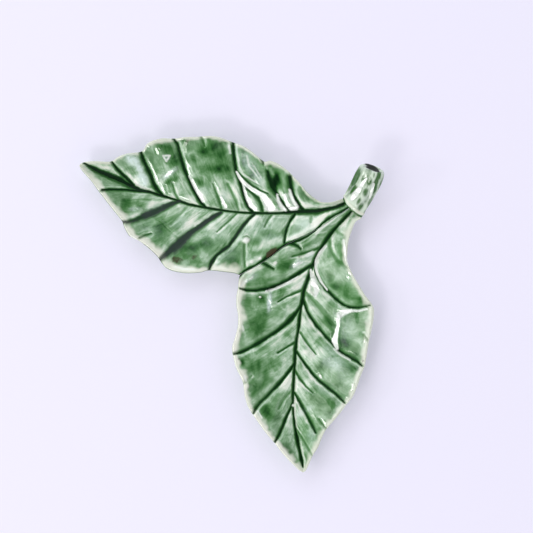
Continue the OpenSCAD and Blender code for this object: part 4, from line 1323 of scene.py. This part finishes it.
LOWER_GROOVES = (
    Stroke((
        (352, 211, 1.6), (346, 217, 2), (340, 223, 2.4), (333, 231, 2.8), (327, 239, 2.7), (321, 248, 2.6),
        (315, 259, 2.4), (311, 270, 2.2), (307, 282, 2.3), (304, 291, 2.5), (302.5, 300, 2.1),
        (301, 308, 1.9), (300, 316, 1.9), (299, 327, 1.9), (297, 338, 2), (295.5, 350, 1.9), (295, 362, 1.8),
        (294.3, 372, 1.8), (293.5, 384, 1.9), (293, 396, 2), (293, 405, 1.6), (293.5, 415, 1.4),
        (295, 427, 1.8), (297.2, 438, 1.9), (299.5, 450, 1.8), (302, 461, 1.6), (303, 467, 1),
    ), 1.7, slim=1.5),
    Stroke(((322, 247, 1.8), (311, 251, 1.7), (301, 254, 1.5), (292, 256.5, 0.9)), 0.8, 0.8),
    Stroke((
        (312, 265, 1.8), (305, 269.3, 1.9), (298, 273.8, 2), (290, 278.8, 2), (280, 284, 2),
        (268, 288.5, 2.1), (256, 290.5, 2), (247, 290.3, 1.6), (240, 288.5, 1.3),
    ), 1.4),
    Stroke(((302, 290.5, 1.2), (295, 293, 1.1), (286, 297, 0.9), (278, 302, 0.7)), 0.8, 0.8),
    Stroke((
        (301.5, 305, 1.2), (297, 312, 1.6), (291.5, 318.5, 2.3), (286, 324, 2.2), (278, 330.5, 1.8),
        (268, 337, 1.7), (258, 343.3, 1.8), (248, 349, 1.6), (240, 352.6, 1.5), (234, 354, 1.2),
    ), 1.4, slim=1),
    Stroke(((296.5, 341.5, 1.3), (290, 345.3, 1.1), (284, 349, 1), (278, 352.8, 0.8)), 0.8, 0.85),
    Stroke((
        (295, 363, 1.3), (290, 370.5, 1.6), (284, 378, 1.7), (276, 387, 1.7), (267, 396, 1.7),
        (260, 403, 1.7), (255.5, 409, 1.5), (253.5, 413.5, 0.8),
    ), 1.4, slim=1.05),
    Stroke(((293.3, 389, 1.2), (288, 394.3, 1.3), (283, 400.5, 1.3), (279, 408.5, 1)), 0.7, 0.6),
    Stroke((
        (292.6, 403, 1.2), (290, 410, 1.4), (286, 418, 1.5), (282.6, 427, 1.7), (279, 435, 1.6),
        (275, 442, 1.2),
    ), 1.3),
    Stroke(((251.5, 376, 0.9), (248, 379.5, 1.1), (244, 383.5, 1)), 0.6, 0.5),
    Stroke(((249, 328.5, 0.6), (244, 330.5, 1), (240, 331, 0.9)), 0.5, 0.35),
    Stroke(((262.5, 262.5, 1.4), (268, 265.5, 1.5), (273.5, 268.8, 1)), 0.9, slim=1),
    Stroke(((289, 243.3, 1.4), (294, 244, 1.5), (298, 246, 1.2), (301, 249, 0.8)), 0.8, slim=1),
    Stroke(((306, 258, 0.5), (312, 256, 0.5)), 0.3, 0.3),
    Stroke(((296, 262, 0.5), (310, 263, 0.6)), 0.3, 0.3),
    Stroke(((318, 235, 1.1), (329, 233.5, 1.6)), 0.5, 0.5),
    Stroke(((333, 228, 1.5), (338, 232.5, 2), (342.5, 234.5, 1.2)), 0.6, 0.5),
    Stroke((
        (329, 238, 1.8), (330, 247, 2), (332.5, 254, 1.9), (337, 260, 1.6), (342, 264, 1.3), (347, 267.8, 1),
    ), 0.9, 0.62),
    Stroke((
        (314, 264, 1.5), (316, 273, 1.8), (320, 281, 2), (325, 288, 2.1), (331, 294.3, 2.2), (337, 300, 2.2),
        (343, 304.5, 2), (350, 307.3, 1.7), (358, 307.8, 1.5), (365, 306.6, 1.2), (370, 305.5, 0.9),
    ), 1.6, pale_side=-1, slim=1.5),
    Stroke(((305.5, 292, 1.6), (312, 299, 2.2), (320, 308, 2.8), (328, 318, 3), (333, 325, 2.2)), 0.9, 0.6),
    Stroke((
        (303, 300, 1.7), (307, 311, 1.8), (311, 318, 2), (317, 326, 2.1), (323, 333, 2), (330, 341, 1.7),
        (337, 349, 1.7), (343, 353.5, 1.9), (350, 357, 2), (357, 361, 1.7), (362, 366, 1.2),
    ), 1.4, pale_side=-1, slim=1.5),
    Stroke(((300.5, 333, 1.5), (305, 340, 1.3), (310, 347, 1), (316, 354.5, 0.7)), 0.8, 0.75, -1),
    Stroke((
        (296.5, 352, 1.5), (302, 360, 1.6), (308, 368, 1.7), (314, 375.7, 1.9), (320, 381.5, 2.1),
        (328, 388, 1.9), (336, 394, 1.6), (342, 400, 1.6), (344.5, 403, 1),
    ), 1.4, pale_side=-1, slim=1.4),
    Stroke(((295, 371, 1.3), (300, 379, 1.5), (306, 386.5, 1), (313, 393, 0.5)), 0.8, 0.8, -1),
    Stroke((
        (294.5, 393, 1.4), (299, 401, 1.8), (304, 410, 2), (309, 419.5, 2), (313, 427, 1.7), (315.8, 433, 1),
    ), 1.3, 0.95, -1, 0, 1.4),
    Stroke(((296, 428, 0.8), (302, 438, 0.9), (307, 446.5, 1.1), (311.8, 454.5, 1)), 0.7, 0.65),
    Stroke(((319, 419, 1), (322, 423.5, 1.2), (325.5, 427.5, 1)), 0.7, 0.8),
    Stroke(((363.5, 334.5, 1), (367, 339, 1)), 0.5, 0.6),
    Stroke(((347, 226, 0.8), (350, 220, 0.9)), 0.3, 0.35),
    SEAM_GROOVE,
)
LOWER_RIDGES = (
    Stroke(((350, 311, 2), (360, 311, 1.6), (367, 308.5, 1.2)), 0.4),
)
LOWER_FACETS = (
    Facet(((312, 266, 1.8), (313.5, 275, 2.8))),
    Facet(((313, 279, 2.4), (314.5, 285, 3.6), (316, 291, 4.2))),
    Facet(((351, 309.8, 2), (345, 311, 2.8), (339, 313, 4.4))),
    Facet((
        (337.5, 317, 3), (338.5, 325, 2.4), (336, 333, 3.2), (334.8, 340, 4.2), (337, 346, 3.4),
    ), 0, SIDE_WINDOW),
    Facet(((268, 290, 1), (280, 285, 1.2), (291, 279.5, 1.3), (299, 275, 1))),
    Facet(((319, 375, 1.1), (321, 377, 1.2)), 0, SIDE_WINDOW),
    Facet(((341, 397.5, 1.6), (343.5, 399.5, 1.6)), 0, SIDE_WINDOW),
    Facet(((324, 423, 1.6), (326, 427, 1.6)), 0, SIDE_WINDOW),
    Facet(((351, 390, 1.4), (353, 384, 1.4)), 0, SIDE_WINDOW),
    Facet(((364, 342, 1.4), (366, 338, 1.4)), 0, SIDE_WINDOW),
    Facet(((346.5, 276.5, 1.4), (350, 279.5, 1.4)), 0, SIDE_WINDOW),
    Facet(((343.8, 243, 0.9), (344.6, 250, 1.1), (345, 257, 0.9)), 0, SIDE_WINDOW),
    Facet(((292, 266, 1.6), (297, 262.5, 2))),
    Facet(((269, 294, 1.6), (270, 302, 2), (271, 309, 1.4)), 0.08),
    Facet(((242, 284, 1.4), (247, 279.5, 1.8), (252, 276, 1.4))),
)
# Pale strokes: thin glaze breaking over sharp edges, and painted highlights where the glaze mirrors a window.
LOWER_BREAKS_AND_HIGHLIGHTS = (
    Stroke((
        (326, 246, 1.2), (320, 253, 1.4), (316.3, 260, 1.2), (315.6, 267, 1.1), (317.5, 274, 1.2),
        (321, 281.5, 1.1), (327, 289.5, 0.8),
    ), 0, 0.9),
    Stroke((
        (310.7, 270, 0.9), (311.8, 276, 1.5), (313.8, 283, 2.2), (316.8, 290, 2.4), (315.5, 296, 1.2),
    ), 0, 0.95),
    Stroke(((266, 291.2, 0.8), (274, 289.3, 1), (283, 285.4, 1.1), (291, 281.3, 1), (298, 277, 0.8)), 0),
    Stroke((
        (367, 309, 0.7), (359, 310.8, 1), (351, 310.6, 1.5), (344, 312.2, 2.7), (339.5, 314.6, 3),
    ), 0, 0.9),
    Stroke((
        (338.3, 318, 1.9), (338, 325, 1), (336.2, 333, 1.5), (334.4, 341, 2.5), (337.2, 348.5, 1.4),
    ), 0, 0.9),
    Stroke(((334, 349, 0.9), (341, 355, 1.1), (350, 360, 0.9)), 0, 0.6),
    Stroke(((339, 214.2, 1), (332, 219.8, 1.1), (324, 226.3, 1), (316, 233.6, 1)), 0, 0.5),
    Stroke(((343.5, 240, 1), (344.4, 248, 1.2), (345.3, 257, 1), (349, 266, 0.8)), 0, 0.8),
    Stroke(((307, 255.5, 1.6), (312.5, 252.5, 1.5)), 0, 0.6),
    Stroke(((294, 266.5, 0.9), (298, 263.5, 1.3), (302.5, 262.5, 0.8)), 0, 0.8),
    Stroke(((319.5, 375, 0.9), (321, 377.3, 1)), 0, 0.9),
    Stroke(((241, 286, 0.9), (243, 283, 1.1), (246, 281, 1)), 0, 0.8),
    Stroke(((249, 279.3, 0.8), (252, 277.4, 0.8)), 0, 0.7),
    Stroke(((242.6, 326, 0.8), (243.6, 331, 0.9)), 0, 0.7),
    Stroke(((244.6, 376, 0.9), (246, 381, 0.9)), 0, 0.7),
    Stroke(((258, 411, 0.7), (262, 418, 0.8)), 0, 0.6),
)
# Painted sheen: milky reflections of the room on the lower blade, painted in as pale bluish spots.
LOWER_PAINTED_SHEEN = (
    Spot(296, 264.5, 5, 2, 35, 1.1), Spot(301, 262, 4, 1.6, -20, 0.9), Spot(269.5, 302, 2.2, 9, -4, 1.4),
    Spot(347, 330, 9, 14, 0, 0.3), Spot(334, 363, 13, 7, -25, 0.65), Spot(345, 375, 8, 8, 0, 0.2),
    Spot(322, 388, 12, 5, -40, 0.2), Spot(313, 282, 4, 12, -80, 0.3), Spot(303, 412, 3, 10, -60, 0.5),
    Spot(330, 352, 8, 5, -40, 0.45), Spot(310, 255, 4, 3, 30, 0.8), Spot(312, 435, 5, 8, 0, 0.4),
    Spot(351, 253, 3, 8, 0, 0.3), Spot(253, 277, 6, 3, 30, 0.5), Spot(246, 281, 3, 2, 30, 0.8),
)
LOWER_DULL = (
    Spot(333, 284, 8, 6, -70, 0.8), Spot(347, 340, 7, 6, 0, 0.6),
    Spot(352, 294, 16, 11, -20, 1.8), Spot(310, 431, 11, 21, 30, 2.0), Spot(339, 255, 6, 11, 0, 1.6),
    Spot(330, 243, 8, 8, 0, 0.6), Spot(322, 376, 6, 5, 0, 0.7), Spot(345, 351, 7, 5, 0, 0.8),
)
LOWER_SPOTS = (
    Spot(247, 300, 7, 5, 0, 0.24), Spot(262, 300, 4, 4, 0, 0.24), Spot(265, 315, 4, 12, -12, 0.16),
    Spot(259, 332, 4, 10, -20, 0.22), Spot(251, 322, 5, 10, -15, 0.14), Spot(277, 311, 8, 5, 30, 0.06),
    Spot(255, 280, 12, 4, 5, 0.1), Spot(288, 267, 8, 5, 40, 0.14), Spot(283, 263, 5, 6, 60, 0.14),
    Spot(308, 243, 9, 3.5, 25, 0.2), Spot(328, 228, 9, 3, 28, 0.14), Spot(242, 362, 3, 4, 0, 0.3),
    Spot(251, 369, 3.5, 6, 0, 0.2), Spot(259, 367, 2.5, 7, 0, 0.22), Spot(266, 374, 4, 9, -10, 0.22),
    Spot(255, 388, 5, 11, -10, 0.1), Spot(275, 365, 8, 6, 30, 0.08), Spot(282, 360, 7, 4, 40, 0.08),
    Spot(266, 412, 6, 7, 0, 0.18), Spot(277, 418, 4, 8, -20, 0.12), Spot(283, 402, 4, 8, -30, 0.1),
    Spot(284, 443, 6, 8, 0, 0.12), Spot(292, 455, 4, 6, 0, 0.02), Spot(330, 278, 6, 4, -70, 0.26),
    Spot(336, 286, 5, 5, 0, 0.26), Spot(352, 293, 8, 5, 0, 0.08), Spot(345, 297, 8, 3, -15, 0.08),
    Spot(358, 299, 6, 3, 0, 0.14), Spot(345, 283, 8, 8, 0, -0.04), Spot(321, 262, 4, 10, -70, 0.06),
    Spot(319, 304, 10, 5, -52, 0.12), Spot(329, 320, 8, 5, -60, 0.22), Spot(341, 334, 7, 11, 0, 0.2),
    Spot(346, 343, 7, 4, 0, 0.14), Spot(357, 350, 6, 5, 0, 0.12), Spot(322, 366, 7, 5, 20, 0.22),
    Spot(327, 359, 6, 5, 0, 0.14), Spot(352, 367, 5, 4, 0, 0.14), Spot(338, 383, 7, 7, 0, 0.02),
    Spot(317, 398, 10, 5, -45, 0.12), Spot(333, 404, 5, 5, 0, 0.14), Spot(325, 412, 8, 4, -30, 0.08),
    Spot(350, 318, 8, 5, 0, 0.08), Spot(270, 275, 14, 3, 18, -0.1),
    Spot(285, 254, 12, 3.5, 18, -0.12), Spot(250, 272, 9, 4, 25, -0.12), Spot(318, 232, 8, 2.5, 28, -0.12),
    Spot(340, 214, 7, 2, 40, -0.1), Spot(297, 277, 7, 2, 30, -0.1), Spot(287, 331, 10, 5, 40, 0.17),
    Spot(270, 347, 14, 4, 32, -0.06), Spot(288, 383, 4, 8, -40, -0.14), Spot(281, 426, 3, 9, -20, 0.02),
    Spot(309, 327, 4, 12, -55, -0.14), Spot(302, 322, 3, 9, -80, -0.12), Spot(310, 355, 12, 3.5, -50, -0.1),
    Spot(304, 352, 3, 6, -60, -0.14), Spot(303, 383, 3, 6, -50, -0.1), Spot(302, 412, 3, 9, -60, -0.12),
    Spot(336, 246, 4, 10, -80, -0.08), Spot(344, 225, 6, 6, 0, -0.16), Spot(338, 270, 10, 4, -40, -0.04),
    Spot(326, 297, 12, 2, -45, -0.12), Spot(320, 314, 10, 2, -48, -0.1), Spot(303, 445, 4, 12, -70, -0.04),
    Spot(290, 432, 4, 10, -80, -0.06), Spot(325, 388, 8, 4, -35, -0.02), Spot(300, 372, 3, 8, -70, -0.08),
    Spot(329, 222.5, 11, 1.8, 38, -0.26), Spot(312, 238, 8, 1.8, 38, -0.24),
    Spot(300, 245.5, 8, 1.8, 20, -0.26),
    Spot(280, 254, 8, 2.2, 36, -0.24), Spot(258, 268.5, 10, 2.4, 30, -0.24), Spot(278, 262, 10, 3, 25, -0.14),
    Spot(290, 250, 8, 3, 15, -0.12), Spot(268, 281, 16, 5, 12, 0.1), Spot(262, 322, 14, 8, -60, 0.06),
    Spot(262, 345, 10, 5, 35, 0.1), Spot(310, 390, 5, 9, -50, 0.08), Spot(345, 368, 7, 6, 0, 0.1),
    Spot(340, 346, 9, 5, 0, 0.08),
)
LOWER_RUST = (
    Spot(300, 256, 3.5, 2.5, 0, 0.7), Spot(239, 359, 2, 2, 0, 0.6), Spot(253, 404, 3, 2, 0, 0.5),
    Spot(344, 329, 2.5, 2.5, 0, 0.5), Spot(363, 361, 1.5, 3, 0, 0.7), Spot(282, 430, 1.5, 6, -20, 0.5),
    Spot(272, 252, 7, 3, 28, 0.6), Spot(303, 466, 1.5, 2, 0, 0.6), Spot(346, 367, 2, 1.5, 0, 0.4),
)
LOWER_PEARLS = (
    Spot(260, 297, 0.9, 0.8, 0, 0.4), Spot(293.5, 405.5, 1.4, 1.2, 0, 0.8),
    Spot(275, 263.3, 1.3, 1.3, 0, 0.5),
)


# The twig, the foot rings and the studio


@dataclass
class Twig:
    """The twig that the blades spring from: a fluted stalk that rises to a cut end.

    Its skin runs along the stalk to the share stalk_end, over the rim of the cut end to rim_end, and then
    into the hollow. Other places and spreads are shares along the stalk.
    """

    seam: Seam = field(default_factory=Seam)
    base_height: float = 12 * MM
    width: float = 18 * MM
    full_at: float = 0.25
    joint_depth: float = 0.6
    depth_gain: float = 0.36
    round_at: float = 0.5
    collar_lip: float = 0.88 * MM
    collar_waist: float = 0.56 * MM
    collar_place: float = 0.075
    lip_spread: float = 0.04
    waist_spread: float = 0.05
    run: float = 28.43 * MM
    rise: float = 12.35 * MM
    angle: float = 63
    end_angle: float = 69
    end_tilt: float = 20
    swing: float = 0.025
    hollow: float = 1.2 * MM
    hollow_wall: float = 0.45
    hollow_step: float = 0.22
    shadow_span: tuple[float, float] = (0.30, 0.55)
    bevel: float = 4.8 * MM
    bevel_reach: float = 3.12 * MM
    flutes: int = 7
    flute_depth: float = 0.07
    flute_fade: float = 0.6
    lip_reach: float = 1.5 * MM
    reach_spread: float = 0.06
    facets_above: float = 0.15
    seen_above: float = -0.1
    hidden_glaze: float = 0.7
    valley_glaze: float = 0.45
    under_lip_strength: float = 1.5
    under_lip_span: tuple[float, float] = (0.028, 0.046)
    cream_share: float = 0.95
    cream_spread: float = 0.024
    stalk_end: float = 0.86
    rim_end: float = 0.93
    widths: Rows = (
        (0, 1.0), (0.04, 0.985), (0.12, 0.985), (0.25, 0.99), (0.4, 1), (0.55, 1.02), (0.7, 1.03),
        (0.84, 1.03), (0.94, 1.01), (1, 0.985),
    )
    turns: Rows = ((0, 0), (0.04, 0), (0.12, 0.2), (0.25, 0.5), (0.4, 0.7), (0.55, 0.82), (0.7, 0.9), (1, 1))
    spots: tuple[Spot, ...] = (
        Spot(353.6, 189.8, 6.5, 3, 55, 1.15), Spot(355.8, 177.5, 11, 3.2, 64, 1.35),
        Spot(363, 178.5, 4.2, 2.2, 62, 0.85), Spot(359.5, 186.6, 5, 1.4, 52, 0.9),
        Spot(369.5, 181.6, 4.6, 2.7, 74, 1.05), Spot(365.6, 192.4, 5.4, 2.8, 66, 1.0),
        Spot(358.8, 201.2, 4.8, 2, 66, 0.75), Spot(360.8, 206.6, 5.2, 2.8, 56, 0.95),
        Spot(370.5, 201, 8, 2.2, 62, 0.85), Spot(379, 174, 7, 2.2, 84, 1.15),
        Spot(375.8, 184, 12, 2.4, 76, 1.2), Spot(381, 184, 10, 1.8, 72, 0.8),
        Spot(374, 175, 4, 1.2, 85, 0.6), Spot(366.5, 211, 7, 1.8, 52, 0.7), Spot(348.6, 194, 6, 1.4, 48, 0.6),
        Spot(367, 188, 6, 1.2, 70, 0.6), Spot(358, 183, 5, 1.1, 62, 0.5), Spot(371, 173, 3.4, 1, 80, 0.5),
        # The three broad spots on the next line darken the upper-left flank as painted shade.
        Spot(356.5, 174.5, 10, 5, 64, 0.9), Spot(351, 186, 9, 4, 56, 0.65), Spot(365, 172, 6, 3, 50, 0.3),
        Spot(369, 203, 9, 3, 60, 0.3), Spot(378, 181, 12, 4, 76, 0.4),
    )
    # Painted highlights: white streaks along the twig where its glaze mirrors the window.
    gleams: tuple[Stroke, ...] = (
        Stroke((
            (351.6, 199, 1.8), (355.3, 194.6, 2.9), (358.8, 189.6, 2.2), (362.3, 184, 1.5),
            (366.5, 178.6, 0.9),
        ), 0),
        Stroke(((369.6, 198, 0.9), (371.8, 191, 1.3), (373.6, 184, 1.1)), 0, 0.8),
    )
    end_shadow: Spot = Spot(371.8, 166.8, 8.6, 2.0, -26, 1.15)
    facets: tuple[Facet, ...] = (
        Facet(((352.5, 198.5, 2), (355.5, 195, 2.6))),
        Facet(((357, 193, 2.4), (360, 188.5, 2.2))),
        Facet(((361, 186, 1.8), (363.5, 182.5, 1.5), (366, 179, 1.1))),
        Facet(((370.5, 197, 1.5), (372, 190, 2), (374, 183, 1.6))),
    )
    columns: int = 130
    rows: int = 180

    def collar(self, spin: np.ndarray) -> np.ndarray:
        """Where the collar's lip lies round the twig, as a share along the stalk."""
        return self.collar_place + 0.014 * np.sin(2 * spin + 1) + 0.006 * np.sin(5 * spin)

    def path(self, q: np.ndarray) -> tuple[np.ndarray, ...]:
        """Finds the stalk's middle line.

        Args:
            q: Shares along the stalk.

        Returns:
            The line in plan and its height, in metres, then the angle in plan across it and how much it
            tilts up, in radians.
        """
        turn = eased(q, self.turns)[:, 0] * (self.end_angle - 90 - self.seam.joint_angle)
        climb = self.run * math.tan(math.radians(self.end_tilt))
        swing = self.swing * np.sin(np.pi * q)
        centre = self.seam.joint(0.5) + self.run * (
            q[:, None] * unit(self.angle) + swing[:, None] * unit(self.angle - 90)
        )
        height = self.base_height + self.rise * (3 * q**2 - 2 * q**3) + climb * (q**3 - q**2)
        tilt = np.arctan2(self.rise * 6 * (q - q**2) + climb * (3 * q**2 - 2 * q), self.run)
        return centre, height, np.radians(self.seam.joint_angle + turn), tilt

    def girth(self, q: np.ndarray, spin: np.ndarray, over: np.ndarray) -> tuple[np.ndarray, np.ndarray]:
        """Finds how thick the stalk is.

        Args:
            q: Shares along the stalk.
            spin: Angles round it.
            over: Shares of the way over the cut end's rim.

        Returns:
            Its width and its depth in metres.
        """
        full = self.seam.joint_width + (self.width - self.seam.joint_width) * np.minimum(1, q / self.full_at)
        wide = full * eased(q, self.widths)[:, 0]
        deep = wide * (self.joint_depth + self.depth_gain * np.minimum(1, q / self.round_at))
        lip = self.collar_lip * bell(q - self.collar(spin), self.lip_spread)
        waist = self.collar_waist * bell(q, self.waist_spread)
        change = lip - waist - self.bevel * (1 - np.cos(over * math.pi / 2))
        return wide + change, deep + change

    def skin(self, along: np.ndarray, round_: np.ndarray) -> Skin:
        """Shapes the twig.

        Args:
            along: Shares from the joint, along the stalk and over the cut end's rim to its middle.
            round_: Shares round the stalk.

        Returns:
            The twig's skin with its glaze numbers.
        """
        q = np.clip(along / self.stalk_end, 0, 1)
        over = np.clip((along - self.stalk_end) / (self.rim_end - self.stalk_end), 0, 1)
        inward = np.clip((along - self.rim_end) / (1 - self.rim_end), 0, 1)
        spin = round_ * 2 * np.pi
        centre, height, angle, tilt = self.path(q)
        wide, deep = self.girth(q, spin, over)
        sunk = smooth(0.0, self.hollow_wall, inward)
        middle = np.clip((inward - self.hollow_wall) / (1 - self.hollow_wall), 0, 1)
        shrink = 1 - self.hollow_step * sunk - (1 - self.hollow_step) * middle
        fluting = self.flute_depth * np.minimum(1, q / self.full_at) * (1 - self.flute_fade * q)
        scale = shrink * (1 - fluting * (1 + np.cos(self.flutes * spin)))
        side = scale * wide / 2 * np.cos(spin)
        up = scale * deep / 2 * np.sin(spin)
        ahead = self.bevel_reach * (np.sin(over * math.pi / 2) - 1) * smooth(0.5, 1.0, q) - self.hollow * sunk
        ahead -= self.lip_reach * bell(q, self.reach_spread) * np.maximum(0, np.sin(spin)) ** 2
        across = np.stack([np.cos(angle), np.sin(angle)], axis=1)
        forward = np.stack([-np.sin(angle), np.cos(angle)], axis=1)
        plan = centre + side[:, None] * across + (ahead * np.cos(tilt) - up * np.sin(tilt))[:, None] * forward
        places = np.column_stack([
            plan + LEAVES[0].shift(), height + ahead * np.sin(tilt) + up * np.cos(tilt),
        ])
        upper = np.sin(spin) > self.facets_above
        for facet in self.facets:
            drawn = drawing_of(places[upper])
            places[upper, 2] = facet.press(drawn, places[upper, :2], places[upper, 2])
        dark = smooth(*self.shadow_span, inward)
        numbers = self.glaze(drawing_of(places), q, spin, dark, along > self.stalk_end)
        return Skin(places, np.column_stack([round_, along]), numbers)

    def glaze(
        self, drawn: np.ndarray, q: np.ndarray, spin: np.ndarray, dark: np.ndarray, on_end: np.ndarray
    ) -> dict[str, np.ndarray]:
        """Works out the numbers that the glaze reads.

        Args:
            drawn: The points on the drawing.
            q: Their shares along the stalk.
            spin: Their angles round it.
            dark: How deep in the hollow they are, from 0 to 1.
            on_end: Whether they lie past the stalk, on the cut end.

        Returns:
            The numbers by name, each for every point.
        """
        seen = strongest(len(q), (spot.dab(drawn) for spot in self.spots))
        lip_at = self.collar(spin)
        around = zip(1.9 * np.cos(spin), 1.9 * np.sin(spin), 5.5 * q)
        rough = np.array([noise.noise(Vector(place)) for place in around])
        hidden = self.hidden_glaze * smooth(-0.1, 0.6, rough)
        cover = np.where(np.sin(spin) > self.seen_above, seen, hidden * (q < 0.97))
        valley = (1 + np.cos(self.flutes * spin)) / 2
        # A darker green band just below the collar's lip.
        under_lip_band = self.under_lip_strength + 0.3 * np.sin(2 * spin + 0.6)
        under_lip_band *= smooth(lip_at - self.under_lip_span[0], lip_at - self.under_lip_span[1], q)
        cover = np.max([cover, self.valley_glaze * valley * smooth(0.1, 0.3, q), under_lip_band], axis=0)
        cream = self.cream_share * bell(q - lip_at, self.cream_spread) * (0.8 + 0.2 * np.sin(3 * spin))
        # painted highlight streaks on the twig's upper side
        bald = strongest(len(q), (gleam.gleam(drawn) * (np.sin(spin) > 0) for gleam in self.gleams))
        dark = np.maximum(dark, self.end_shadow.cover(drawn) * on_end)
        # On the twig, ink carries the cut end's dark glaze and painted shade.
        return {"glaze": cover * (1 - dark), "ink": dark, "rim": cream * (1 - dark), "bald": bald}

    def build(self) -> bpy.types.Object:
        """Builds, dresses and reports the twig.

        Returns:
            The finished piece.
        """
        made = shaped_grid("stem_handle_glazed", self.columns, self.rows, self.skin)
        made.data.materials.append(TwigGlaze().material("twig_glaze"))
        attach(made, "root")
        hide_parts("stem_handle")
        log.info("%s: %d faces", made.name, len(made.data.polygons))
        return made


@dataclass(frozen=True)
class FootRings:
    """The two foot rings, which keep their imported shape."""

    nodes: tuple[str, str] = ("left_foot", "lower_foot")

    def dress(self) -> None:
        """Gives the rings their bare clay."""
        clay = FootClay().material("foot_clay")
        for node in self.nodes:
            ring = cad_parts[node]
            ring.data.materials.clear()
            ring.data.materials.append(clay)
            log.info("%s: packed shape in bare clay", node)


@dataclass(frozen=True)
class Lamp:
    """A soft box that faces the dish: its middle, its width and height, and how bright its face looks."""

    name: str
    place: tuple[float, float, float]
    size: tuple[float, float]
    radiance: float
    tint: tuple[float, float, float]
    target: tuple[float, float, float] = (0.02, 0.02, 0.01)

    def hang(self) -> None:
        """Adds the lamp to the scene."""
        wide, high = self.size
        data = bpy.data.lights.new(self.name, "AREA")
        data.shape, data.size, data.size_y = "RECTANGLE", wide, high
        data.energy = self.radiance * math.pi * wide * high
        data.color = self.tint
        lamp = placed(self.name, data)
        lamp.location = self.place
        lamp.rotation_euler = (Vector(self.target) - Vector(self.place)).to_track_quat("-Z", "Y").to_euler()


@dataclass(frozen=True)
class Studio:
    """Pale table, soft light from the left, and the camera straight above."""

    table: Colour = tone(243, 240, 254)
    clouded: Colour = tone(236, 235, 250)
    black: Colour = (0, 0, 0, 1)
    table_reach: float = 3.0
    shade_share: float = 0.72
    walls: tuple[tuple[float, Colour], ...] = (
        (0.0, (0.87, 0.86, 0.94, 1)), (0.80, (0.87, 0.86, 0.94, 1)), (0.87, (0.10, 0.10, 0.11, 1)),
        (1.0, (0.04, 0.04, 0.05, 1)),
    )
    lamps: tuple[Lamp, ...] = (
        Lamp("window", WINDOW, (0.68, 0.42), 9.5, (1.0, 0.99, 0.96)),
        Lamp("side_window", SIDE_WINDOW, (0.46, 0.24), 9.5, (1.0, 0.99, 0.96)),
        Lamp("wall", (-1.30, 0.0, 2.14), (1.8, 1.2), 1.25, (1.0, 0.99, 0.97)),
        Lamp("far_wall", (-0.76, 1.56, 1.70), (2.2, 1.2), 1.3, (0.90, 0.96, 1.0)),
    )
    field_width: float = DRAWING_SIZE * DRAWING_UNIT
    sensor: float = 36.0

    def floor(self) -> None:
        """Adds the table under the dish. A part of its light is its own, so that shadows stay pale."""
        flat = bmesh.new()
        bmesh.ops.create_grid(flat, x_segments=1, y_segments=1, size=self.table_reach)
        mesh = bpy.data.meshes.new("table")
        flat.to_mesh(mesh)
        flat.free()
        bench = Bench("table_top")
        cloud = bench.grain(bench.coordinates("Object"), 3.0, 1.0)
        colour = bench.mixed(cloud * 0.2, self.table, self.clouded)
        kinds = ("Is Camera Ray", "Is Glossy Ray", "Is Transmission Ray")
        seen = sum(bench.node("ShaderNodeLightPath", {}, {}, kind) for kind in kinds).clamped()
        share = seen * (1 - self.shade_share)
        mesh.materials.append(bench.finish({
            "Base Color": bench.mixed(share, colour, self.black), "Roughness": 0.9, "Specular IOR Level": 0.0,
            "Emission Color": bench.mixed(share, self.black, colour), "Emission Strength": 1.0,
        }))
        floor = placed("table", mesh)

    def light(self) -> None:
        """Adds the lamps and the room's own light."""
        for lamp in self.lamps:
            lamp.hang()
        room = Bench("room", bpy.data.worlds.new("room"))
        bpy.context.scene.world = room.material
        height = room.node("ShaderNodeSeparateXYZ", {}, {0: room.coordinates("Generated")}, 2)
        glow = room.node("ShaderNodeValToRGB", {"stops": self.walls}, {0: height})
        shade = room.node("ShaderNodeBackground", {}, {"Color": glow, "Strength": 1.0})
        room.tree.links.new(shade.socket, room.output.inputs["Surface"])

    def camera(self) -> None:
        """Adds the camera at the eye above the table."""
        data = bpy.data.cameras.new("camera")
        data.sensor_width = self.sensor
        data.lens = self.sensor * (EYE_HEIGHT - RIM_LEVEL) / self.field_width
        data.clip_start, data.clip_end = 0.05, 20
        eye = placed("camera", data)
        eye.location = EYE
        bpy.context.scene.camera = eye


LEAVES = (
    Leaf(
        node="left_leaf", turn=Turn.LEFT, length=LEFT_LENGTH, width=LEFT_WIDTH, midrib=LEFT_MIDRIB, root=0.20,
        fork=(0.4115, -0.4958), far=LEFT_UPPER, near=LEFT_LOWER, grooves=LEFT_GROOVES, ridges=LEFT_RIDGES,
        spots=LEFT_SPOTS, rust=LEFT_RUST, pearls=LEFT_PEARLS, facets=LEFT_FACETS, breaks_and_highlights=LEFT_BREAKS_AND_HIGHLIGHTS,
        milk=LEFT_PAINTED_SHEEN, dull=LEFT_DULL,
    ),
    Leaf(
        node="lower_leaf", turn=Turn.DOWN, length=LOWER_LENGTH, width=LOWER_WIDTH, midrib=LOWER_MIDRIB,
        root=0.62, fork=(0.2566, -0.7824), far=LOWER_RIGHT, near=LOWER_LEFT, grooves=LOWER_GROOVES,
        ridges=LOWER_RIDGES, spots=LOWER_SPOTS, rust=LOWER_RUST, pearls=LOWER_PEARLS, facets=LOWER_FACETS,
        breaks_and_highlights=LOWER_BREAKS_AND_HIGHLIGHTS, milk=LOWER_PAINTED_SHEEN, dull=LOWER_DULL, ink_depth=0.98, streaks=0.5,
    ),
)


def main() -> None:
    """Builds the dish, its table and its light."""
    for leaf in LEAVES:
        leaf.build()
    Twig().build()
    FootRings().dress()
    studio = Studio()
    studio.floor()
    studio.light()
    studio.camera()
    bpy.context.scene.view_settings.view_transform = "Standard"
    log.info("table, lamps and camera placed")
    bpy.context.view_layer.update()


if __name__ == "__main__":
    main()
